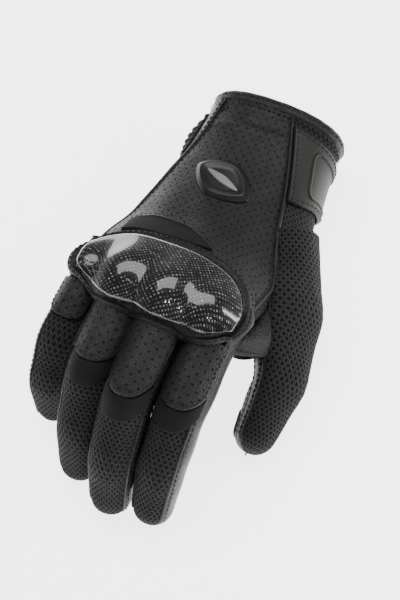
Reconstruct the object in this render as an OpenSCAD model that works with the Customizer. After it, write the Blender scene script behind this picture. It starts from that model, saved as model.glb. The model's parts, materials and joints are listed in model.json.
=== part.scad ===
// Right-hand riding glove, worn shape, lying on its palm heel and fingertips.
// +Y runs to the fingertips, +Z is the back of the hand, -X is the thumb side.
// The origin is the centre of the palm heel pad's flat face.

/* [Hand shell] */
// Half of the cuff opening's outside width
cuff_half_w = 37; // [36:0.5:39]
// Half of the shell's width across the knuckle row
knuckle_half_w = 49; // [48:0.5:50]
// Distance from the origin back to the cuff edge
cuff_back = 80; // [76:1:84]
// Thickness of the outer leather and mesh panels
panel_t = 1.8; // [1.4:0.1:2]
// Thickness of the lining
lining_t = 0.7; // [0.5:0.1:0.8]
// Free gap left along every seam between panels
seam_gap = 0.3; // [0.2:0.05:0.5]

/* [Fingers] */
// Index knuckle joint centre
index_knuckle = [-35.5, 54, 53.5]; // [-60:0.5:80]
// Index phalanx lengths, the last one to the tip ball's centre
index_bones = [45, 27, 24]; // [20:0.5:50]
// Index bend at rest at the three joints
index_curl = [11, 23.5, 17]; // [0:0.5:40]
// Middle knuckle joint centre
middle_knuckle = [-11.5, 56, 59.6]; // [-60:0.5:80]
// Middle phalanx lengths
middle_bones = [49, 30, 25]; // [20:0.5:52]
// Middle bend at rest
middle_curl = [8, 33, 24]; // [0:0.5:40]
// Ring knuckle joint centre
ring_knuckle = [13, 54, 57.3]; // [-60:0.5:80]
// Ring phalanx lengths
ring_bones = [45, 28, 24]; // [20:0.5:50]
// Ring bend at rest
ring_curl = [8, 34.5, 25]; // [0:0.5:40]
// Little finger knuckle joint centre
pinky_knuckle = [36, 50, 51.1]; // [-60:0.5:80]
// Little finger phalanx lengths
pinky_bones = [36, 22, 21]; // [18:0.5:40]
// Little finger bend at rest
pinky_curl = [9, 36.5, 31]; // [0:0.5:40]
// Sideways lean of the four fingers, towards the thumb positive
finger_splay = [1.7, 2.3, 3.4, -1.8]; // [-3:0.1:4]
// Wall of the finger tubes
finger_wall = 1.6; // [1.2:0.1:1.8]
// Range each knuckle bends further from rest
knuckle_flex = 50; // [40:1:55]
// Range each knuckle straightens from rest
knuckle_extend = 8; // [4:1:8]

/* [Thumb] */
// Thumb root in the palm, where its gusset starts
thumb_root = [-36, -18, 31]; // [-60:0.5:60]
// Lengths of the thumb's hand bone, base and tip
thumb_bones = [43, 36, 27]; // [20:0.5:46]
// Pitch of the thumb's hand bone, then the bends at its two joints
thumb_curl = [21, 15.3, 16.8]; // [5:0.1:25]
// Heading and roll of the thumb's bending plane
thumb_plane = [48.8, -70]; // [-75:0.1:55]

/* [Guard] */
// Thickness of the hard knuckle guard
guard_t = 2.4; // [2:0.1:2.8]
// Height of the guard's knuckle bumps above its shell
bump_rise = 3.2; // [2:0.1:4]

/* [Strap] */
// Width of the wrist strap along the arm
strap_w = 34; // [28:1:36]
// Thickness of the strap tab
strap_t = 1.4; // [1.2:0.1:1.6]

/* [Hidden] */
$fn = 48;
big = 200;
g = seam_gap;
ring_pts = 36;
thin = 0.01;

// Which sub-part to draw; "all" draws the glove

leather = [0.09, 0.09, 0.1];
mesh_grey = [0.13, 0.13, 0.14];
carbon = [0.05, 0.05, 0.06];
foam_grey = [0.3, 0.3, 0.32];
brown_black = [0.12, 0.1, 0.09];
satin = [0.6, 0.6, 0.6];

// ---- Hand shell -------------------------------------------------------------
// Stations: y, centre x, half width, bottom z, top z, drop towards the little finger
knuckle_end = 47;
palm_end = 40;
stations = [
  [-cuff_back - 6, 0, cuff_half_w + 0.5, 5, 49, 0],
  [-62, 0, cuff_half_w, 5, 48.5, 0],
  [-46, -1, cuff_half_w + 1.5, 5, 48, 0],
  [-28, -1.5, 43, 2.8, 49, 0.01],
  [2, -1.5, 46.5, 2.8, 54, 0.02],
  [26, -0.5, 48.5, 17, 63.5, 0.04],
  [knuckle_end + 5, 0.5, knuckle_half_w, 38, 71.5, 0.07]
];
squareness = 2.3;

function sgn_pow(v) = sign(v) * pow(abs(v), 2 / squareness);
function ring_of(s, grow) = [
  for (i = [0:ring_pts - 1])
    let (a = 360 * i / ring_pts,
         x = (s[2] + grow) * sgn_pow(cos(a)),
         z = (s[3] + s[4]) / 2 + ((s[4] - s[3]) / 2 + grow) * sgn_pow(sin(a)))
    [s[1] + x, z - s[5] * x]
];

module station(s, grow) {
  translate([0, s[0], 0]) rotate([90, 0, 0]) linear_extrude(thin) polygon(ring_of(s, grow));
}

// The solid inside the shell's outer face moved out by grow
module loft(grow) {
  for (i = [0:len(stations) - 2])
    hull() { station(stations[i], grow); station(stations[i + 1], grow); }
}

module layer(inner, outer) {
  difference() { loft(outer); loft(inner); }
}

// Everything between two y positions, and above or below the side seams
module slab(y0, y1) { translate([-big, y0, -big]) cube([2 * big, y1 - y0, 2 * big]); }

// Side view outline of the palm's seam along both edges of the hand
palm_seam = [[-cuff_back - 10, 20], [-40, 21], [0, 22], [26, 33], [60, 55]];
module palm_side(shift) {
  rotate([90, 0, 90]) translate([0, shift, -big])
    linear_extrude(2 * big)
      polygon(concat(palm_seam, [[60, -60], [-cuff_back - 10, -60]]));
}
module dorsal_side(shift) {
  rotate([90, 0, 90]) translate([0, shift, -big])
    linear_extrude(2 * big)
      polygon(concat(palm_seam, [[60, 120], [-cuff_back - 10, 120]]));
}

// Top view outline of the back panel, between its two long seams
seam_thumb_cuff = [-25, -cuff_back - 4];
seam_thumb_wrist = [-24, -50];
seam_thumb_mid = [-31, -12];
seam_thumb_end = [-41, 60];
seam_outer_end = [42, 60];
seam_outer_mid = [38, -12];
seam_outer_cuff = [28, -cuff_back - 4];
module back_outline() {
  polygon([seam_thumb_cuff, seam_thumb_wrist, seam_thumb_mid, seam_thumb_end,
           seam_outer_end, seam_outer_mid, seam_outer_cuff]);
}
module thumb_side_outline(shift) {
  translate([shift, 0])
    polygon([seam_thumb_cuff, seam_thumb_wrist, seam_thumb_mid, seam_thumb_end,
             [-big, 60], [-big, -cuff_back - 4]]);
}
module outer_side_outline(shift) {
  translate([shift, 0])
    polygon([seam_outer_cuff, seam_outer_mid, seam_outer_end, [big, 60], [big, -cuff_back - 4]]);
}
module tall() { translate([0, 0, -big]) linear_extrude(2 * big) children(); }

module hand_slab() { slab(panel_end, knuckle_end); }

module back_panel() color(leather) intersection() {
  layer(-panel_t, 0);
  hand_slab();
  dorsal_side(g / 2);
  tall() back_outline();
}
module thumb_side_mesh() color(mesh_grey) difference() {
  intersection() {
    layer(-panel_t, 0);
    hand_slab();
    dorsal_side(g / 2);
    tall() thumb_side_outline(-g);
  }
  thumb_opening(g);
}
module outer_side_panel() color(leather) intersection() {
  layer(-panel_t, 0);
  hand_slab();
  dorsal_side(g / 2);
  tall() outer_side_outline(g);
}
module palm_panel() color(leather) difference() {
  intersection() {
    layer(-panel_t, 0);
    slab(panel_end, palm_end);
    palm_side(-g / 2);
  }
  thumb_opening(g);
}
module hand_lining() color(foam_grey) difference() {
  intersection() {
    layer(-panel_t - 0.2 - lining_t, -panel_t - 0.2);
    slab(panel_end, palm_end - 2);
  }
  thumb_opening(0);
}

// Folded edge tape around the cuff opening, its lip lying over the panels' ends
binding_len = 7;
panel_end = -cuff_back + 3.5;
module cuff_binding() color(leather) difference() {
  intersection() {
    layer(-panel_t - 1.2, 1);
    slab(-cuff_back - 1.6, -cuff_back - 1.6 + binding_len);
  }
  intersection() {
    loft(g);
    slab(panel_end - g, big);
  }
}

// ---- Thumb ------------------------------------------------------------------
thumb_r = [15, 12.6, 11.4, 10.4];
module thumb_frame(level) {
  translate(thumb_root) rotate([0, 0, thumb_plane[0]]) rotate([0, thumb_plane[1], 0])
    rotate([-thumb_curl[0], 0, 0])
      if (level == 0) children();
      else translate([0, thumb_bones[0], 0]) rotate([-thumb_curl[1], 0, 0])
        if (level == 1) children();
        else translate([0, thumb_bones[1], 0]) rotate([-thumb_curl[2], 0, 0]) children();
}
// Room around the thumb's root left open in the hand's panels and lining
module thumb_opening(extra) {
  thumb_frame(0) translate([0, 8, 0]) rotate([-90, 0, 0])
    cylinder(h = thumb_bones[0], r = thumb_r[1] - finger_wall - 1.5 + extra);
}
gusset_r = [17, 14.6];
module thumb_gusset() color(mesh_grey) difference() {
  thumb_frame(0) rotate([-90, 0, 0]) difference() {
    cylinder(h = thumb_bones[0] + 2, r1 = gusset_r[0], r2 = gusset_r[1]);
    translate([0, 0, -1])
      cylinder(h = thumb_bones[0] + 4, r1 = gusset_r[0] - finger_wall, r2 = gusset_r[1] - finger_wall);
  }
  loft(g);
  thumb_frame(0) translate([0, thumb_bones[0], 0])
    joint_wedge(-1, thumb_r[1], thumb_range[0], thumb_range[1], joint_clear);
}

// ---- Fingers ----------------------------------------------------------------
names = ["index", "middle", "ring", "pinky"];
knuckles = [index_knuckle, middle_knuckle, ring_knuckle, pinky_knuckle];
bones = [index_bones, middle_bones, ring_bones, pinky_bones];
curls = [index_curl, middle_curl, ring_curl, pinky_curl];
// Outer radii at the knuckle, the middle joint, the end joint and the tip
radii = [[11.4, 10.9, 10.4, 9.8], [11.4, 11, 10.5, 9.9],
         [11.2, 10.7, 10.2, 9.4], [10.4, 9.8, 9.4, 8.8]];

module finger_frame(f, level) {
  translate(knuckles[f]) rotate([0, 0, finger_splay[f]]) rotate([-curls[f][0], 0, 0])
    if (level == 0) children();
    else translate([0, bones[f][0], 0]) rotate([-curls[f][1], 0, 0])
      if (level == 1) children();
      else translate([0, bones[f][1], 0]) rotate([-curls[f][2], 0, 0]) children();
}

// Wedge that clears a joint's bend: toward = 1 cuts the piece beyond the joint,
// -1 the piece before it. Palm side opened by flex, back opened by extend.
module joint_wedge(toward, r, flex, extend, keep) {
  reach = 2.2 * r;
  p = reach * tan(flex / 2) + keep;
  d = reach * tan(extend / 2) + keep;
  rotate([90, 0, 90]) translate([0, 0, -big / 2]) linear_extrude(big)
    polygon([[toward * keep * 0.5, 0], [toward * d, reach],
             [-toward * 40, reach], [-toward * 40, -reach], [toward * p, -reach]]);
}

joint_clear = 0.35;
// Upper half of a hollow phalanx. above and below are the angles its two ends are
// opened by over and under the joints, first end then far end, and turn is where the
// round faces start.
module upper_tube(len, r1, r2, below1, above1, below2, above2, turn = 0) {
  difference() {
    rotate([-90, 0, 0]) rotate([0, 0, turn]) cylinder(h = len, r1 = r1, r2 = r2);
    rotate([-90, 0, 0]) rotate([0, 0, turn]) translate([0, 0, -1])
      cylinder(h = len + 2, r1 = r1 - finger_wall, r2 = r2 - finger_wall);
    lower_space();
    joint_wedge(1, r1, below1, above1, joint_clear);
    translate([0, len, 0]) joint_wedge(-1, r2, below2, above2, joint_clear);
  }
}
module lower_space() {
  translate([-big / 2, -big / 2, -big + g / 2]) cube([big, big, big]);
}
// Upper half of a closed fingertip: a cone ending in a ball
module upper_tip(len, r1, r2, below1, above1) {
  difference() {
    union() {
      rotate([-90, 0, 0]) cylinder(h = len, r1 = r1, r2 = r2);
      translate([0, len, 0]) sphere(r = r2);
    }
    rotate([-90, 0, 0]) translate([0, 0, -1])
      cylinder(h = len + 1, r1 = r1 - finger_wall, r2 = r2 - finger_wall);
    translate([0, len, 0]) sphere(r = r2 - finger_wall);
    lower_space();
    joint_wedge(1, r1, below1, above1, joint_clear);
  }
}
// The half over the fingernail, or the palm half, which is the same turned over
module half_tube(len, r1, r2, back, flex1, ext1, flex2, ext2, turn = 0) {
  if (back) upper_tube(len, r1, r2, flex1, ext1, flex2, ext2, turn);
  else rotate([0, 180, 0]) upper_tube(len, r1, r2, ext1, flex1, ext2, flex2, turn);
}
module half_tip(len, r1, r2, back, flex1, ext1) {
  if (back) upper_tip(len, r1, r2, flex1, ext1);
  else rotate([0, 180, 0]) upper_tip(len, r1, r2, ext1, flex1);
}

pip_range = [45, 30];
dip_ratio = 0.66;
dip_range = pip_range * dip_ratio;
// Palm side and back openings of the tubes at joint k of finger f, as each tube already
// rests bent by the curl there
function palm_open(f, k) = (k == 1 ? pip_range[0] : dip_range[0]) + curls[f][k] + 1;
function back_open(f, k) = max(1, (k == 1 ? pip_range[1] : dip_range[1]) - curls[f][k] + 1);

// The knuckle end is cut on the finger's side only, as the hand shell stops short
module finger_base(f, back) {
  finger_frame(f, 0) difference() {
    half_tube(bones[f][0], radii[f][0], radii[f][1], back,
              0, 0, palm_open(f, 1), back_open(f, 1));
    knuckle_cut(radii[f][0]);
  }
}
module knuckle_cut(r) {
  rotate([90, 0, 90]) translate([0, 0, -big / 2]) linear_extrude(big)
    polygon([[-40, 40], [1.5 + 40 * tan(knuckle_extend), 40], [1.5, 0],
             [1.5 + 0.35 * r, -r - 1], [-40, -40]]);
}
module finger_mid(f, back) {
  finger_frame(f, 1)
    half_tube(bones[f][1], radii[f][1], radii[f][2], back,
              palm_open(f, 1), back_open(f, 1), palm_open(f, 2), back_open(f, 2));
}
module finger_tip(f, back) {
  finger_frame(f, 2)
    half_tip(bones[f][2], radii[f][2], radii[f][3], back,
             palm_open(f, 2), back_open(f, 2));
}

// Sleeve sector on a base phalanx, from y0 to y1 along it, standing off the tube
module sleeve(f, y0, y1, low, thick, half_w) {
  r1 = radii[f][0];
  r2 = radii[f][1];
  finger_frame(f, 0) intersection() {
    rotate([-90, 0, 0]) difference() {
      cylinder(h = bones[f][0], r1 = r1 + low + thick, r2 = r2 + low + thick);
      translate([0, 0, -1]) cylinder(h = bones[f][0] + 2, r1 = r1 + low, r2 = r2 + low);
    }
    linear_extrude(40) polygon([
      [-half_w, y0], [half_w, y0], [half_w, y1 - 6], [half_w - 3, y1 - 1.5], [0, y1],
      [-half_w + 3, y1 - 1.5], [-half_w, y1 - 6]]);
  }
}
tongue_from = 12.5;
tongue_end = [35, 38, 33, 26];
band_end = [41, 45, 41, 0];
module tongue(f) color(leather) sleeve(f, tongue_from, tongue_end[f], 0.2, 1.3, radii[f][1] - 2.5);
module band(f) color(foam_grey) finger_frame(f, 0) difference() {
  intersection() {
    rotate([-90, 0, 0]) difference() {
      cylinder(h = bones[f][0], r1 = radii[f][0] + 1.6, r2 = radii[f][1] + 1.6);
      translate([0, 0, -1])
        cylinder(h = bones[f][0] + 2, r1 = radii[f][0] + 0.2, r2 = radii[f][1] + 0.2);
    }
    linear_extrude(40) translate([-radii[f][1] + 2, tongue_end[f] - 4])
      square([2 * radii[f][1] - 4, band_end[f] - tongue_end[f] + 4]);
  }
  linear_extrude(40) polygon([
    [-30, -1], [30, -1], [radii[f][1], tongue_end[f] - 6 + g], [radii[f][1] - 5, tongue_end[f] - 1.5 + g],
    [0, tongue_end[f] + g], [-radii[f][1] + 5, tongue_end[f] - 1.5 + g],
    [-radii[f][1], tongue_end[f] - 6 + g]]);
}

// Contact patch under a tip ball
module touch_patch(r, from, to) {
  difference() {
    intersection() {
      translate([0, to, 0]) sphere(r = r + 0.9);
      translate([-r * 0.6, from, -big]) cube([r * 1.2, to - from + r * 0.7, big - r * 0.35]);
    }
    translate([0, to, 0]) sphere(r = r + 0.15);
    rotate([-90, 0, 0]) cylinder(h = to, r = r + 0.6);
  }
}

module index_touch_pad() color(foam_grey)
  finger_frame(0, 2) touch_patch(radii[0][3], bones[0][2] - 6, bones[0][2]);
module thumb_touch_pad() color(foam_grey)
  thumb_frame(2) touch_patch(thumb_r[3], thumb_bones[2] - 6, thumb_bones[2]);

thumb_range = [15, 20];
thumb_tip_range = [50, 15];
thumb_palm_open = thumb_tip_range[0] + thumb_curl[2] + 1;
thumb_back_open = max(1, thumb_tip_range[1] - thumb_curl[2] + 1);
module thumb_base(back) color(back ? mesh_grey : leather) thumb_frame(1)
  half_tube(thumb_bones[1], thumb_r[1], thumb_r[2], back,
            thumb_range[0] + thumb_curl[1], thumb_range[1], thumb_palm_open, thumb_back_open, turn = 90);
module thumb_tip(back) color(back ? mesh_grey : leather) thumb_frame(2)
  half_tip(thumb_bones[2], thumb_r[2], thumb_r[3], back, thumb_palm_open, thumb_back_open);

// ---- Knuckle guard ----------------------------------------------------------
guard_back = 22;
guard_front = 8;
guard_low = 3;
function over(f, dy) = [knuckles[f][0], knuckles[f][1] + dy];
module guard_outline(grow) {
  hull_pairs(grow) { guard_lobe(0); guard_lobe(1); guard_lobe(2); guard_lobe(3); }
}
module guard_lobe(f) {
  hull() {
    translate(over(f, -guard_back + 8)) circle(r = 8);
    translate(over(f, guard_front - 9)) circle(r = 9);
  }
}
module hull_pairs(grow) {
  offset(delta = grow) for (i = [0:$children - 2]) hull() { children(i); children(i + 1); }
}
// Room the finger tubes and tongues sweep as they straighten under the guard
module finger_sweep(grow) {
  for (f = [0:3]) {
    finger_frame(f, 0) rotate([knuckle_extend, 0, 0]) rotate([-90, 0, 0])
      cylinder(h = 60, r = radii[f][0] + grow);
    translate(knuckles[f]) rotate([0, 90, 0])
      cylinder(h = 2 * radii[f][0] * 0.9, r = radii[f][0] + grow, center = true);
  }
}
module bump(f, grow) {
  r = 15;
  hull() for (dy = [-9, -2])
    translate([knuckles[f][0], knuckles[f][1] + dy,
               shell_top(knuckles[f][0], knuckles[f][1] + dy) + bump_rise - r + grow])
      sphere(r = r, $fn = 28);
}
// Height of the shell's outer face above a point, by its knuckle stations
function lerp(a, b, t) = a + (b - a) * t;
function top_at(s, x) = let (u = min(0.99, abs(x - s[1]) / s[2]))
  (s[3] + s[4]) / 2 + (s[4] - s[3]) / 2 * pow(1 - pow(u, squareness), 1 / squareness)
  - s[5] * (x - s[1]);
function shell_top(x, y) = let (a = stations[5], b = stations[6], t = (y - a[0]) / (b[0] - a[0]))
  lerp(top_at(a, x), top_at(b, x), t);

// Curved skin that carries the guard past the end of the hand shell
module dome(grow) {
  intersection() {
    union() {
      loft(grow);
      for (f = [0:2]) hull() { bump(f, grow - bump_rise); bump(f + 1, grow - bump_rise); }
      for (f = [0:2]) hull() { front(f, grow); front(f + 1, grow); bump(f, grow - bump_rise);
                               bump(f + 1, grow - bump_rise); }
    }
    slab(0, 90);
  }
}
module front(f, grow) {
  translate([knuckles[f][0], knuckles[f][1] + guard_front - 2, knuckles[f][2] + 1 + grow])
    sphere(r = radii[f][0] + 1, $fn = 28);
}

// Only the back of the hand: keeps the guard's pieces off the palm side
guard_floor = 50;
module guard_space() { translate([-big, -big, guard_floor]) cube([2 * big, 2 * big, big]); }
module knuckle_guard() color(carbon) difference() {
  intersection() {
    union() {
      dome(guard_low + guard_t);
      for (f = [0:3]) bump(f, guard_low + guard_t);
    }
    tall() guard_outline(0);
    guard_space();
  }
  dome(guard_low);
  finger_sweep(2);
}
module knuckle_foam() color(foam_grey) difference() {
  intersection() {
    dome(guard_low - g);
    tall() guard_outline(-7);
    slab(0, knuckle_end);
    guard_space();
  }
  loft(g);
  finger_sweep(1.5);
}
module guard_surround() color(leather) difference() {
  intersection() {
    layer(g, g + 1.6);
    tall() difference() { guard_outline(6); guard_outline(-5); }
    slab(0, knuckle_end);
    guard_space();
  }
  finger_sweep(1.5);
}

// ---- Back of the hand -------------------------------------------------------
module flex_insert() color(foam_grey) intersection() {
  layer(g, g + 1.2);
  tall() difference() {
    hull() {
      translate([-8, 15]) circle(r = 9);
      translate([25, 11]) circle(r = 10);
    }
    offset(delta = 1) guard_outline(6);
  }
  translate([-big, -big, 30]) cube([2 * big, 2 * big, big]);
}
badge_at = [3, -25.5];
module badge_outline(grow) {
  translate(badge_at) hull() {
    for (s = [-1, 1]) translate([s * 10, 0]) circle(r = 5 + grow);
    for (s = [-1, 1]) translate([0, s * 7]) circle(r = 5 + grow);
  }
}
module wrist_badge() color(brown_black) intersection() {
  layer(g, g + 2.4);
  tall() difference() { badge_outline(0); badge_bar(g); }
  translate([-big, -big, 30]) cube([2 * big, 2 * big, big]);
}
module badge_bar(grow) {
  translate(badge_at) hull() for (s = [-1, 1]) translate([s * 6, 0]) circle(r = 2.4 + grow);
}
module badge_inlay() color(satin) intersection() {
  layer(g, g + 2);
  tall() badge_bar(0);
  translate([-big, -big, 30]) cube([2 * big, 2 * big, big]);
}

// ---- Palm heel --------------------------------------------------------------
heel_x = [-22, 24];
heel_y = [-28, 4];
module heel_outline(grow) {
  hull() for (x = [heel_x[0] + 6, heel_x[1] - 6], y = [heel_y[0] + 6, heel_y[1] - 6])
    translate([x, y]) circle(r = 6 + grow);
}
module palm_heel_patch() color(leather) difference() {
  linear_extrude(8) heel_outline(0);
  translate([0, 0, 1.2]) linear_extrude(20) heel_outline(-4);
  loft(g);
}
module heel_foam() color(foam_grey) difference() {
  translate([0, 0, 1.2 + g]) linear_extrude(6) heel_outline(-4 - g);
  loft(g);
}

// ---- Wrist strap ------------------------------------------------------------
strap_from = -68;
strap_low = 1.8;
strap_root_x = -24;
strap_end_x = 4;
module strap_zone(shift, root, tip) {
  // all of the section that lies outboard of the root, round to the palm side
  intersection() {
    slab(strap_from + shift, strap_from + strap_w - shift);
    union() {
      translate([-big, -big, 26]) cube([big + root, 2 * big, big]);
      translate([-big, -big, -big]) cube([big + tip, 2 * big, big + 26.01]);
    }
  }
}
module strap_tab() color(brown_black) intersection() {
  layer(strap_low, strap_low + strap_t);
  strap_zone(0, strap_root_x, strap_end_x);
}
module strap_moulding() color(brown_black) difference() {
  intersection() {
    layer(strap_low + strap_t + 0.1, strap_low + strap_t + 1.1);
    strap_zone(4, strap_root_x - 4, -14);
    translate([-big, -big, 12]) cube([2 * big, 2 * big, big]);
  }
  strap_zone(6.2, strap_root_x - 6.5, 40);
}
module loop_patch() color(foam_grey) intersection() {
  layer(0.15, 0.75);
  strap_zone(4, -40, 0);
  translate([-30, -big, -20]) cube([60, 2 * big, 34]);
}
module hook_patch() color(foam_grey) intersection() {
  layer(0.95, 1.65);
  strap_zone(5, -40, -1);
  translate([-26, -big, -20]) cube([60, 2 * big, 32]);
}

module index_base_back() color(mesh_grey) finger_base(0, true);
module index_base_palm() color(leather) finger_base(0, false);
module index_mid_back() color(mesh_grey) finger_mid(0, true);
module index_mid_palm() color(leather) finger_mid(0, false);
module index_tip_back() color(mesh_grey) finger_tip(0, true);
module index_tip_palm() color(leather) finger_tip(0, false);
module index_tongue() tongue(0);
module index_band() band(0);
module middle_base_back() color(mesh_grey) finger_base(1, true);
module middle_base_palm() color(leather) finger_base(1, false);
module middle_mid_back() color(mesh_grey) finger_mid(1, true);
module middle_mid_palm() color(leather) finger_mid(1, false);
module middle_tip_back() color(mesh_grey) finger_tip(1, true);
module middle_tip_palm() color(leather) finger_tip(1, false);
module middle_tongue() tongue(1);
module middle_band() band(1);
module ring_base_back() color(mesh_grey) finger_base(2, true);
module ring_base_palm() color(leather) finger_base(2, false);
module ring_mid_back() color(mesh_grey) finger_mid(2, true);
module ring_mid_palm() color(leather) finger_mid(2, false);
module ring_tip_back() color(mesh_grey) finger_tip(2, true);
module ring_tip_palm() color(leather) finger_tip(2, false);
module ring_tongue() tongue(2);
module ring_band() band(2);
module pinky_base_back() color(mesh_grey) finger_base(3, true);
module pinky_base_palm() color(leather) finger_base(3, false);
module pinky_mid_back() color(mesh_grey) finger_mid(3, true);
module pinky_mid_palm() color(leather) finger_mid(3, false);
module pinky_tip_back() color(mesh_grey) finger_tip(3, true);
module pinky_tip_palm() color(leather) finger_tip(3, false);
module pinky_tongue() tongue(3);
module thumb_base_back() thumb_base(true);
module thumb_base_palm() thumb_base(false);
module thumb_tip_back() thumb_tip(true);
module thumb_tip_palm() thumb_tip(false);

// ---- Drawing ----------------------------------------------------------------
back_panel();
palm_panel();
thumb_side_mesh();
outer_side_panel();
thumb_gusset();
flex_insert();
guard_surround();
knuckle_guard();
knuckle_foam();
wrist_badge();
badge_inlay();
palm_heel_patch();
heel_foam();
loop_patch();
cuff_binding();
hand_lining();
strap_tab();
strap_moulding();
hook_patch();
index_base_back();
index_base_palm();
index_mid_back();
index_mid_palm();
index_tip_back();
index_tip_palm();
index_tongue();
index_band();
index_touch_pad();
middle_base_back();
middle_base_palm();
middle_mid_back();
middle_mid_palm();
middle_tip_back();
middle_tip_palm();
middle_tongue();
middle_band();
ring_base_back();
ring_base_palm();
ring_mid_back();
ring_mid_palm();
ring_tip_back();
ring_tip_palm();
ring_tongue();
ring_band();
pinky_base_back();
pinky_base_palm();
pinky_mid_back();
pinky_mid_palm();
pinky_tip_back();
pinky_tip_palm();
pinky_tongue();
thumb_base_back();
thumb_base_palm();
thumb_tip_back();
thumb_tip_palm();
thumb_touch_pad();
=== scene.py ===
import json
import math
import bpy
import numpy as np
from mathutils import Matrix, Vector


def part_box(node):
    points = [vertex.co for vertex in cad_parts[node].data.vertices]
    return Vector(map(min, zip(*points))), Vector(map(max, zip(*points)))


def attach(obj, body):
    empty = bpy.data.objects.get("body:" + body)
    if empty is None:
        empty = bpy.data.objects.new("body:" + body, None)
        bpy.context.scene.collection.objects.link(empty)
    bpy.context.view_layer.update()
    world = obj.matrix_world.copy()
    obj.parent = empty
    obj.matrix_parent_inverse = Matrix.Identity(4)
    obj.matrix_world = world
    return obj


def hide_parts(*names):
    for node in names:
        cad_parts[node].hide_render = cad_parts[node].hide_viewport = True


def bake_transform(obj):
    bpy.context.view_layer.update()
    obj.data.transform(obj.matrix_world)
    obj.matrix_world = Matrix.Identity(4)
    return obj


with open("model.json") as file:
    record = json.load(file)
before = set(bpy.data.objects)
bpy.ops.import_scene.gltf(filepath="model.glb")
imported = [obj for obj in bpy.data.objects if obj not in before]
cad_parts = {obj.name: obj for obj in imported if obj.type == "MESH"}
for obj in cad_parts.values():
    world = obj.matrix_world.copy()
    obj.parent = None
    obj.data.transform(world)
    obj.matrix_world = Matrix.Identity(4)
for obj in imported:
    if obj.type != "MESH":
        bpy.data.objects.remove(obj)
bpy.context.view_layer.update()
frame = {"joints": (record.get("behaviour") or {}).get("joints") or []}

RNG = np.random.RandomState(11)
TAU = 2 * math.pi
MM = 0.001

# ---- maths helpers


def smooth(a, b, x):
    t = np.clip((np.asarray(x, float) - a) / (b - a), 0, 1)
    return t * t * (3 - 2 * t)


def unit(v):
    return v / np.maximum(np.linalg.norm(v, axis=-1, keepdims=True), 1e-9)


def curve(x, xs, ys):
    """Smooth curve through a few design points that doesn't overshoot them."""
    xs, ys = np.asarray(xs, float), np.asarray(ys, float)
    h = np.diff(xs)
    d = np.diff(ys) / h
    m = np.concatenate([[d[0]], np.zeros(len(d) - 1), [d[-1]]])
    same = d[:-1] * d[1:] > 0
    m[1:-1] = np.where(same, 2 * d[:-1] * d[1:] / (d[:-1] + d[1:] + 1e-12), 0)
    x = np.clip(x, xs[0], xs[-1])
    i = np.clip(np.searchsorted(xs, x) - 1, 0, len(h) - 1)
    t = (x - xs[i]) / h[i]
    return (ys[i] * (1 + 2 * t) * (1 - t) ** 2 + h[i] * m[i] * t * (1 - t) ** 2
            + ys[i + 1] * t * t * (3 - 2 * t) + h[i] * m[i + 1] * t * t * (t - 1))


def soft_max(values, k):
    """Largest of the values, blended smoothly where they are within about k of each other."""
    level = 60  # near the values, so that the exponentials stay in range
    return k * np.log(sum(np.exp((v - level) / k) for v in values)) + level


def power(c, e):
    """Signed power of a sine or cosine: turns a circle into a rounded square."""
    return np.sign(c) * np.abs(c) ** e


WAVES = [(RNG.normal(size=3) * 0.16, RNG.uniform(0, TAU)) for _ in range(14)]


def lumps(P, scale=1.0):
    """Slow uneven swell of worn fabric, about -1 to 1."""
    return sum(np.sin(P @ (k * scale) + phase) for k, phase in WAVES) / 5.0


def grid_normals(P, outward):
    """Unit normals of a grid, all on the side that outward mostly points to."""
    n = unit(np.cross(np.gradient(P, axis=0), np.gradient(P, axis=1)))
    sign = np.sign(np.sum(n * outward, axis=-1))
    sign[sign == 0] = 1
    return n * np.sign(np.median(sign))


def run_length(P, axis):
    """Distance along one axis of a grid, from its first row or column."""
    d = np.moveaxis(np.linalg.norm(np.diff(P, axis=axis), axis=-1), axis, 0)
    out = np.concatenate([np.zeros((1, d.shape[1])), np.cumsum(d, axis=0)])
    return np.moveaxis(out, 0, axis)


def grid_uv(P):
    return np.stack([run_length(P, 1), run_length(P, 0)], axis=-1)


def upward(P, z=1.0):
    return np.broadcast_to(np.array([0, 0, z]), P.shape)


def edge_round(d, w, t):
    """Thickness that rises as a quarter round from a cut or turned edge."""
    k = 1 - np.clip(d / w, 0, 1)
    return t * np.sqrt(np.maximum(1 - k * k, 0.0004))


# ---- mesh building


class Buf:
    """Gathers grids and faces in mm and makes one mesh object of them in metres."""

    def __init__(self):
        self.v, self.f, self.m, self.uv, self.n, self.mats = [], [], [], [], 0, []

    def mat(self, m):
        if m not in self.mats:
            self.mats.append(m)
        return self.mats.index(m)

    def add(self, V, F, mat, UV):
        V = np.asarray(V, float).reshape(-1, 3)
        F = np.asarray(F, int)
        self.v.append(V)
        self.uv.append(np.asarray(UV, float).reshape(-1, 2))
        self.f.append(F + self.n)
        ids = mat if isinstance(mat, np.ndarray) else np.full(len(F), self.mat(mat))
        self.m.append(ids)
        self.n += len(V)

    def make(self, name):
        V = np.concatenate(self.v) * MM
        F = np.concatenate(self.f)
        me = bpy.data.meshes.new(name)
        me.vertices.add(len(V))
        me.vertices.foreach_set("co", V.ravel())
        me.loops.add(F.size)
        me.loops.foreach_set("vertex_index", F.ravel())
        me.polygons.add(len(F))
        me.polygons.foreach_set("loop_start", np.arange(len(F)) * 4)
        me.polygons.foreach_set("loop_total", np.full(len(F), 4))
        me.polygons.foreach_set("use_smooth", np.ones(len(F), bool))
        me.polygons.foreach_set("material_index", np.concatenate(self.m).astype(int))
        layer = me.uv_layers.new(name="mm")
        layer.data.foreach_set("uv", np.concatenate(self.uv)[F.ravel()].ravel())
        for m in self.mats:
            me.materials.append(m)
        me.update(calc_edges=True)
        me.validate()
        ob = bpy.data.objects.new(name, me)
        bpy.context.scene.collection.objects.link(ob)
        return ob


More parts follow.
